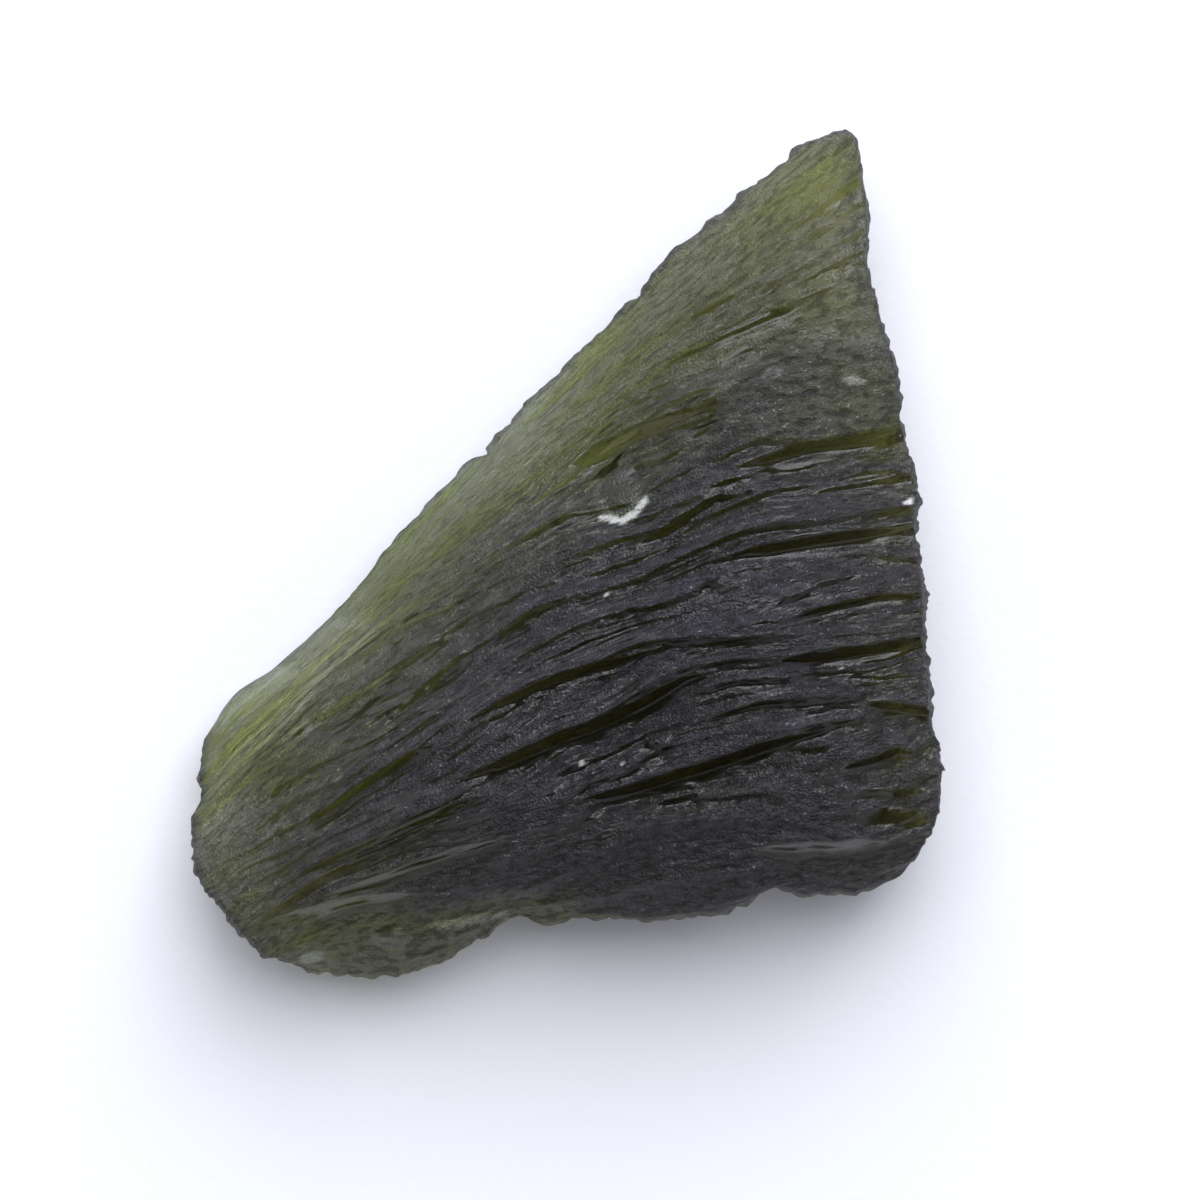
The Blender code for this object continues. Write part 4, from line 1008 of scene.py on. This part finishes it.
def etched_tektite_glass(glass):
    """Moldavite, a natural glass: clear bottle green inside, with a skin that acid soil has etched.

    The ridges are frosted by fine grains, so they shine dull and grey. The groove floors are smooth enough to
    look into, so they show green where the stone is thin and nearly black where it is thick.
    """
    material = bpy.data.materials.new("etched tektite glass")
    material.use_nodes = True
    tree = material.node_tree
    tree.nodes.clear()
    clear = add_node(tree, "ShaderNodeAttribute", {"attribute_name": "clear"}).outputs["Fac"]
    bruise_and_highlight = add_node(tree, "ShaderNodeAttribute", {"attribute_name": "bruise_and_highlight"}).outputs["Fac"]
    flow = add_node(tree, "ShaderNodeAttribute", {"attribute_name": "flow"}).outputs["Vector"]
    place = add_node(tree, "ShaderNodeTexCoord").outputs["Object"]

    # Fine threads run with the flow, a net of them closes round the small etch pits, and streaks are
    # greener. The grains are drawn coarser than real ones, which would be too fine to show.
    etched = add_node(tree, "ShaderNodeSeparateXYZ", None, {"Vector": flow}).outputs["Z"]
    stretched = add_node(tree, "ShaderNodeVectorMath", {"operation": "MULTIPLY", 1: THREAD_COUNTS}, {0: flow})
    threads = add_node(tree, "ShaderNodeTexNoise", {"Scale": 1.0, "Detail": 2.0, "Roughness": 0.7},
                       {"Vector": stretched.outputs[0]}).outputs["Fac"]
    across = add_node(tree, "ShaderNodeVectorMath", {"operation": "MULTIPLY", 1: PIT_STRETCH}, {0: flow})
    pits = add_node(tree, "ShaderNodeTexNoise", {"Scale": glass.webs_per_mm, "Detail": 1.0},
                    {"Vector": across.outputs[0]}).outputs["Fac"]
    drawn = add_node(tree, "ShaderNodeVectorMath", {"operation": "MULTIPLY", 1: STREAK_COUNTS}, {0: flow})
    streaks = add_node(tree, "ShaderNodeTexNoise", {"Scale": 1.0, "Detail": 3.0},
                       {"Vector": drawn.outputs[0]}).outputs["Fac"]
    grains = add_node(tree, "ShaderNodeTexNoise", {"Scale": 1.0 / glass.grain_size, "Detail": 0.0},
                      {"Vector": place}).outputs["Fac"]
    ranges = {"net": (pits, NET), "threads": (threads, THREADS), "pits": (pits, PITS),
              "gaps": (threads, GAPS), "grains": (grains, GRAINS), "sparkles": (grains, SPARKLES),
              "streaks": (streaks, STREAKS)}
    shown = {}
    for name, (pattern, (nothing, whole)) in ranges.items():
        step = add_node(tree, "ShaderNodeMapRange", {"From Min": nothing, "From Max": whole},
                        {"Value": pattern})
        shown[name] = step.outputs["Result"]
    lines = add_node(tree, "ShaderNodeMath", {"operation": "MULTIPLY_ADD", 1: NET_PART},
                     {0: shown["net"], 2: shown["threads"]})

    # Painted shade: the walls of the pits and of the gaps between the threads turn the light away, so their
    # colour is darkened.
    shaded_hollows = add_node(tree, "ShaderNodeMath", {"operation": "MAXIMUM"}, {0: shown["pits"], 1: shown["gaps"]})

    # The frosted skin scatters a little of the light, and lets the rest through to the clear glass inside.
    frost = add_node(tree, "ShaderNodeMath", {"operation": "SUBTRACT", 0: 1.0}, {1: clear})
    frosting = add_node(tree, "ShaderNodeMapRange", {"To Min": glass.thin_frosting, "To Max": glass.frosting},
                        {"Value": etched})
    covering = add_node(tree, "ShaderNodeMath", {"operation": "MULTIPLY"},
                        {0: frost.outputs[0], 1: frosting.outputs["Result"]})
    skin = add_node(tree, "ShaderNodeMath", {"operation": "MULTIPLY_ADD", 1: GRAIN_PART},
                    {0: shown["grains"], 2: lines.outputs[0]})
    cover = add_node(tree, "ShaderNodeMath", {"operation": "MULTIPLY"},
                     {0: covering.outputs[0], 1: skin.outputs[0]})

    # Painted glints: a few random grains on the threads are painted white as though they faced the light and
    # sparkled, most where the skin is deeply etched.
    sparkling = add_node(tree, "ShaderNodeMapRange", {"To Min": THIN_SPARKLE, "To Max": 1.0},
                         {"Value": etched})
    clumped = add_node(tree, "ShaderNodeMath", {"operation": "MULTIPLY"},
                       {0: shown["sparkles"], 1: shown["threads"]})
    lit = add_node(tree, "ShaderNodeMath", {"operation": "MULTIPLY"},
                   {0: clumped.outputs[0], 1: frost.outputs[0]})
    painted_glint = add_node(tree, "ShaderNodeMath", {"operation": "MULTIPLY"},
                     {0: lit.outputs[0], 1: sparkling.outputs["Result"]})
    crushed_and_glints = add_node(tree, "ShaderNodeMath", {"operation": "MULTIPLY_ADD", 1: glass.sparkle},
                       {0: painted_glint.outputs[0], 2: bruise_and_highlight})
    scattered = add_node(tree, "ShaderNodeMath", {"operation": "ADD"},
                         {0: cover.outputs[0], 1: crushed_and_glints.outputs[0]})
    through_glass = add_node(tree, "ShaderNodeMath", {"operation": "SUBTRACT", 0: 1.0, "use_clamp": True},
                             {1: scattered.outputs[0]})

    # The skin's colour: dull violet grey where it is deeply etched, greener streaks where it is thinly etched,
    # painted shade in the hollows, and white on crushed glass, on dust, and on painted glints and highlights.
    deep = add_node(tree, "ShaderNodeMath", {"operation": "MULTIPLY"}, {0: etched, 1: etched})
    dulled = add_node(tree, "ShaderNodeMath", {"operation": "MULTIPLY"},
                      {0: frost.outputs[0], 1: deep.outputs[0]})
    plain = add_node(tree, "ShaderNodeMix", {"data_type": "RGBA", 6: (*linear(THIN_TINT), 1.0),
                                             7: (*linear(glass.frost_tint), 1.0)}, {0: dulled.outputs[0]})
    thin = add_node(tree, "ShaderNodeMapRange", {"From Min": 1.0, "From Max": 0.5}, {"Value": etched})
    greener = add_node(tree, "ShaderNodeMath", {"operation": "MULTIPLY"},
                       {0: shown["streaks"], 1: thin.outputs["Result"]})
    streaked = add_node(tree, "ShaderNodeMix", {"data_type": "RGBA", 7: (*linear(STREAK_TINT), 1.0)},
                        {0: greener.outputs[0], 6: plain.outputs[2]})
    # Painted shade in the hollows, weaker where the skin is thinly etched.
    shaded = add_node(tree, "ShaderNodeMath", {"operation": "MULTIPLY"},
                      {0: shaded_hollows.outputs[0], 1: frost.outputs[0]})
    shade = add_node(tree, "ShaderNodeMapRange",
                     {"To Min": THIN_SHADE * glass.pit_shade, "To Max": glass.pit_shade}, {"Value": etched})
    darker = add_node(tree, "ShaderNodeMath", {"operation": "MULTIPLY"},
                      {0: shaded.outputs[0], 1: shade.outputs["Result"]})
    hollow_shaded = add_node(tree, "ShaderNodeMix", {"data_type": "RGBA", 7: (*linear(PAINTED_HOLLOW_SHADE), 1.0)},
                        {0: darker.outputs[0], 6: streaked.outputs[2]})
    # Crushed glass and dust, painted glints and painted highlights whiten the skin.
    whitened = add_node(tree, "ShaderNodeMath", {"operation": "MULTIPLY", 1: WHITENING, "use_clamp": True},
                        {0: crushed_and_glints.outputs[0]})
    colour = add_node(tree, "ShaderNodeMix", {"data_type": "RGBA", 7: (*linear(glass.bruise_and_glint_tint), 1.0)},
                      {0: whitened.outputs[0], 6: hollow_shaded.outputs[2]})

    # The grains' relief is drawn higher than real, so that it shows from the camera.
    humps = add_node(tree, "ShaderNodeMath", {"operation": "MULTIPLY_ADD", 1: PIT_HEIGHT},
                     {0: pits, 2: threads})
    height = add_node(tree, "ShaderNodeMath", {"operation": "MULTIPLY_ADD", 1: GRAIN_HEIGHT},
                      {0: grains, 2: humps.outputs[0]})
    bump = add_node(tree, "ShaderNodeBump", {"Distance": glass.grain_relief},
                    {"Height": height.outputs[0], "Strength": frost.outputs[0]})
    rough = add_node(tree, "ShaderNodeMapRange",
                     {"To Min": glass.dull_roughness, "To Max": glass.clear_roughness}, {"Value": clear})
    shader = add_node(tree, "ShaderNodeBsdfPrincipled",
                      {"IOR": glass.ior, "Specular IOR Level": glass.specular},
                      {"Base Color": colour.outputs[2], "Transmission Weight": through_glass.outputs[0],
                       "Roughness": rough.outputs["Result"], "Normal": bump.outputs["Normal"]})
    body = add_node(tree, "ShaderNodeVolumeAbsorption",
                    {"Color": (*glass.tint, 1.0), "Density": glass.density})
    add_node(tree, "ShaderNodeOutputMaterial", None,
             {"Surface": shader.outputs["BSDF"], "Volume": body.outputs["Volume"]})
    return material


def white_paper(stage):
    """Smooth drawing paper, rolled: matt, with a faint tooth."""
    material = bpy.data.materials.new("rolled drawing paper")
    material.use_nodes = True
    tree = material.node_tree
    tree.nodes.clear()
    place = add_node(tree, "ShaderNodeTexCoord").outputs["Object"]
    tooth = add_node(tree, "ShaderNodeTexNoise", {"Scale": 1.0 / (TOOTH_SIZE * MILLIMETRE), "Detail": 2.0},
                     {"Vector": place})
    bump = add_node(tree, "ShaderNodeBump", {"Strength": 0.25, "Distance": TOOTH_HEIGHT * MILLIMETRE},
                    {"Height": tooth.outputs["Fac"]})
    shader = add_node(tree, "ShaderNodeBsdfPrincipled",
                      {"Base Color": (*stage.paper, 1.0), "Roughness": 0.9, "Specular IOR Level": 0.2},
                      {"Normal": bump.outputs["Normal"]})
    add_node(tree, "ShaderNodeOutputMaterial", None, {"Surface": shader.outputs["BSDF"]})
    return material


class OBJECT_OT_moldavite_stone(bpy.types.Operator):
    """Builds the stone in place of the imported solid"""

    bl_idname = "object.moldavite_stone"
    bl_label = "Build the moldavite"

    def execute(self, context):
        points, faces, flows, clears, whites = stone_surface(context.scene.moldavite_shape)
        mesh = bpy.data.meshes.new("moldavite_stone")
        mesh.from_pydata(fit_to_frame(points).tolist(), [], faces)
        if mesh.validate():
            raise RuntimeError("the stone's mesh has faces that Blender had to mend")
        mesh.shade_smooth()
        flow = mesh.attributes.new("flow", "FLOAT_VECTOR", "POINT")
        flow.data.foreach_set("vector", flows.ravel().astype(np.float32))
        clear = mesh.attributes.new("clear", "FLOAT", "POINT")
        clear.data.foreach_set("value", clears.astype(np.float32))
        bruise_and_highlight = mesh.attributes.new("bruise_and_highlight", "FLOAT", "POINT")
        bruise_and_highlight.data.foreach_set("value", whites.astype(np.float32))
        mesh.materials.append(etched_tektite_glass(context.scene.moldavite_glass))
        stone = bpy.data.objects.new("moldavite_stone", mesh)
        context.scene.collection.objects.link(stone)
        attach(stone, "root")
        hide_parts("moldavite")
        return {"FINISHED"}


def sky(scene, stage):
    """Lights the room: bright towards the window beyond the stone's tip, and dark where the camera hangs."""
    world = bpy.data.worlds.new("studio room")
    scene.world = world
    world.use_nodes = True
    tree = world.node_tree
    tree.nodes.clear()
    direction = add_node(tree, "ShaderNodeTexCoord").outputs["Generated"]
    north = add_node(tree, "ShaderNodeVectorMath", {"operation": "DOT_PRODUCT", 1: BRIGHT_SIDE},
                     {0: direction})
    glow = add_node(tree, "ShaderNodeMapRange",
                    {"interpolation_type": "SMOOTHSTEP", "From Min": GLOW_STARTS, "To Min": 1.0,
                     "To Max": GLOW}, {"Value": north.outputs["Value"]})
    height = add_node(tree, "ShaderNodeSeparateXYZ", None, {"Vector": direction}).outputs["Z"]
    shade = add_node(tree, "ShaderNodeMapRange",
                     {"interpolation_type": "SMOOTHSTEP", "From Min": DARK_OVERHEAD[0],
                      "From Max": DARK_OVERHEAD[1], "To Min": 1.0, "To Max": DARK}, {"Value": height})
    lit = add_node(tree, "ShaderNodeMath", {"operation": "MULTIPLY", 1: stage.room},
                   {0: glow.outputs["Result"]})
    strength = add_node(tree, "ShaderNodeMath", {"operation": "MULTIPLY"},
                        {0: lit.outputs[0], 1: shade.outputs["Result"]})
    background = add_node(tree, "ShaderNodeBackground", {"Color": (*linear("#e6eaff"), 1.0)},
                          {"Strength": strength.outputs[0]})
    add_node(tree, "ShaderNodeOutputWorld", None, {"Surface": background.outputs["Background"]})


class OBJECT_OT_moldavite_stage(bpy.types.Operator):
    """Lays the paper, hangs the lights and sets the camera straight above the stone"""

    bl_idname = "object.moldavite_stage"
    bl_label = "Set the stage"

    def execute(self, context):
        stage = context.scene.moldavite_stage
        scene = context.scene
        mesh = bpy.data.meshes.new("paper")
        half = PAPER_HALF
        mesh.from_pydata([(-half, -half, 0.0), (half, -half, 0.0), (half, half, 0.0), (-half, half, 0.0)], [],
                         [(0, 1, 2, 3)])
        mesh.materials.append(white_paper(stage))
        paper = bpy.data.objects.new("paper", mesh)
        paper.location.z = -PAPER_GAP * MILLIMETRE
        scene.collection.objects.link(paper)
        sky(scene, stage)

        light = bpy.data.lights.new("window", "AREA")
        light.shape = "RECTANGLE"
        light.size, light.size_y = WINDOW_SIZE
        light.energy = stage.key_power
        light.color = stage.key_tint
        window = bpy.data.objects.new("window", light)
        window.location = WINDOW_PLACE
        window.rotation_mode = "QUATERNION"
        window.rotation_quaternion = (-window.location).to_track_quat("-Z", "Y")
        scene.collection.objects.link(window)

        lens = bpy.data.cameras.new("camera")
        lens.lens = stage.focal_length
        lens.sensor_width = 36.0
        camera = bpy.data.objects.new("camera", lens)
        distance = VIEW_WIDTH * stage.focal_length / lens.sensor_width
        camera.location = Vector((*VIEW_MIDDLE, VIEW_HEIGHT + distance)) * MILLIMETRE
        lens.clip_start = 0.01
        lens.clip_end = 10.0
        scene.collection.objects.link(camera)
        scene.camera = camera
        scene.view_settings.view_transform = "Standard"
        return {"FINISHED"}


class VIEW3D_PT_moldavite(bpy.types.Panel):
    """Lists the stone's sizes and finishes"""

    bl_label = "Moldavite"
    bl_space_type = "VIEW_3D"
    bl_region_type = "UI"
    bl_category = "Moldavite"

    def draw(self, context):
        layout = self.layout
        for group in ("moldavite_shape", "moldavite_glass", "moldavite_stage"):
            settings = getattr(context.scene, group)
            for name in settings.bl_rna.properties.keys():
                if name not in {"rna_type", "name"}:
                    layout.prop(settings, name)
        layout.operator(OBJECT_OT_moldavite_stone.bl_idname)
        layout.operator(OBJECT_OT_moldavite_stage.bl_idname)


CLASSES = (
    MoldaviteShape, MoldaviteGlass, MoldaviteStage, OBJECT_OT_moldavite_stone, OBJECT_OT_moldavite_stage,
    VIEW3D_PT_moldavite,
)


def register():
    """Makes the settings, operators and panel known to Blender."""
    for each in CLASSES:
        bpy.utils.register_class(each)
    bpy.types.Scene.moldavite_shape = bpy.props.PointerProperty(type=MoldaviteShape)
    bpy.types.Scene.moldavite_glass = bpy.props.PointerProperty(type=MoldaviteGlass)
    bpy.types.Scene.moldavite_stage = bpy.props.PointerProperty(type=MoldaviteStage)


def unregister():
    """Takes them away again."""
    del bpy.types.Scene.moldavite_shape
    del bpy.types.Scene.moldavite_glass
    del bpy.types.Scene.moldavite_stage
    for each in reversed(CLASSES):
        bpy.utils.unregister_class(each)


def main():
    """Builds the stone and its stage."""
    register()
    bpy.ops.object.moldavite_stone()
    bpy.ops.object.moldavite_stage()


if __name__ == "__main__":
    main()
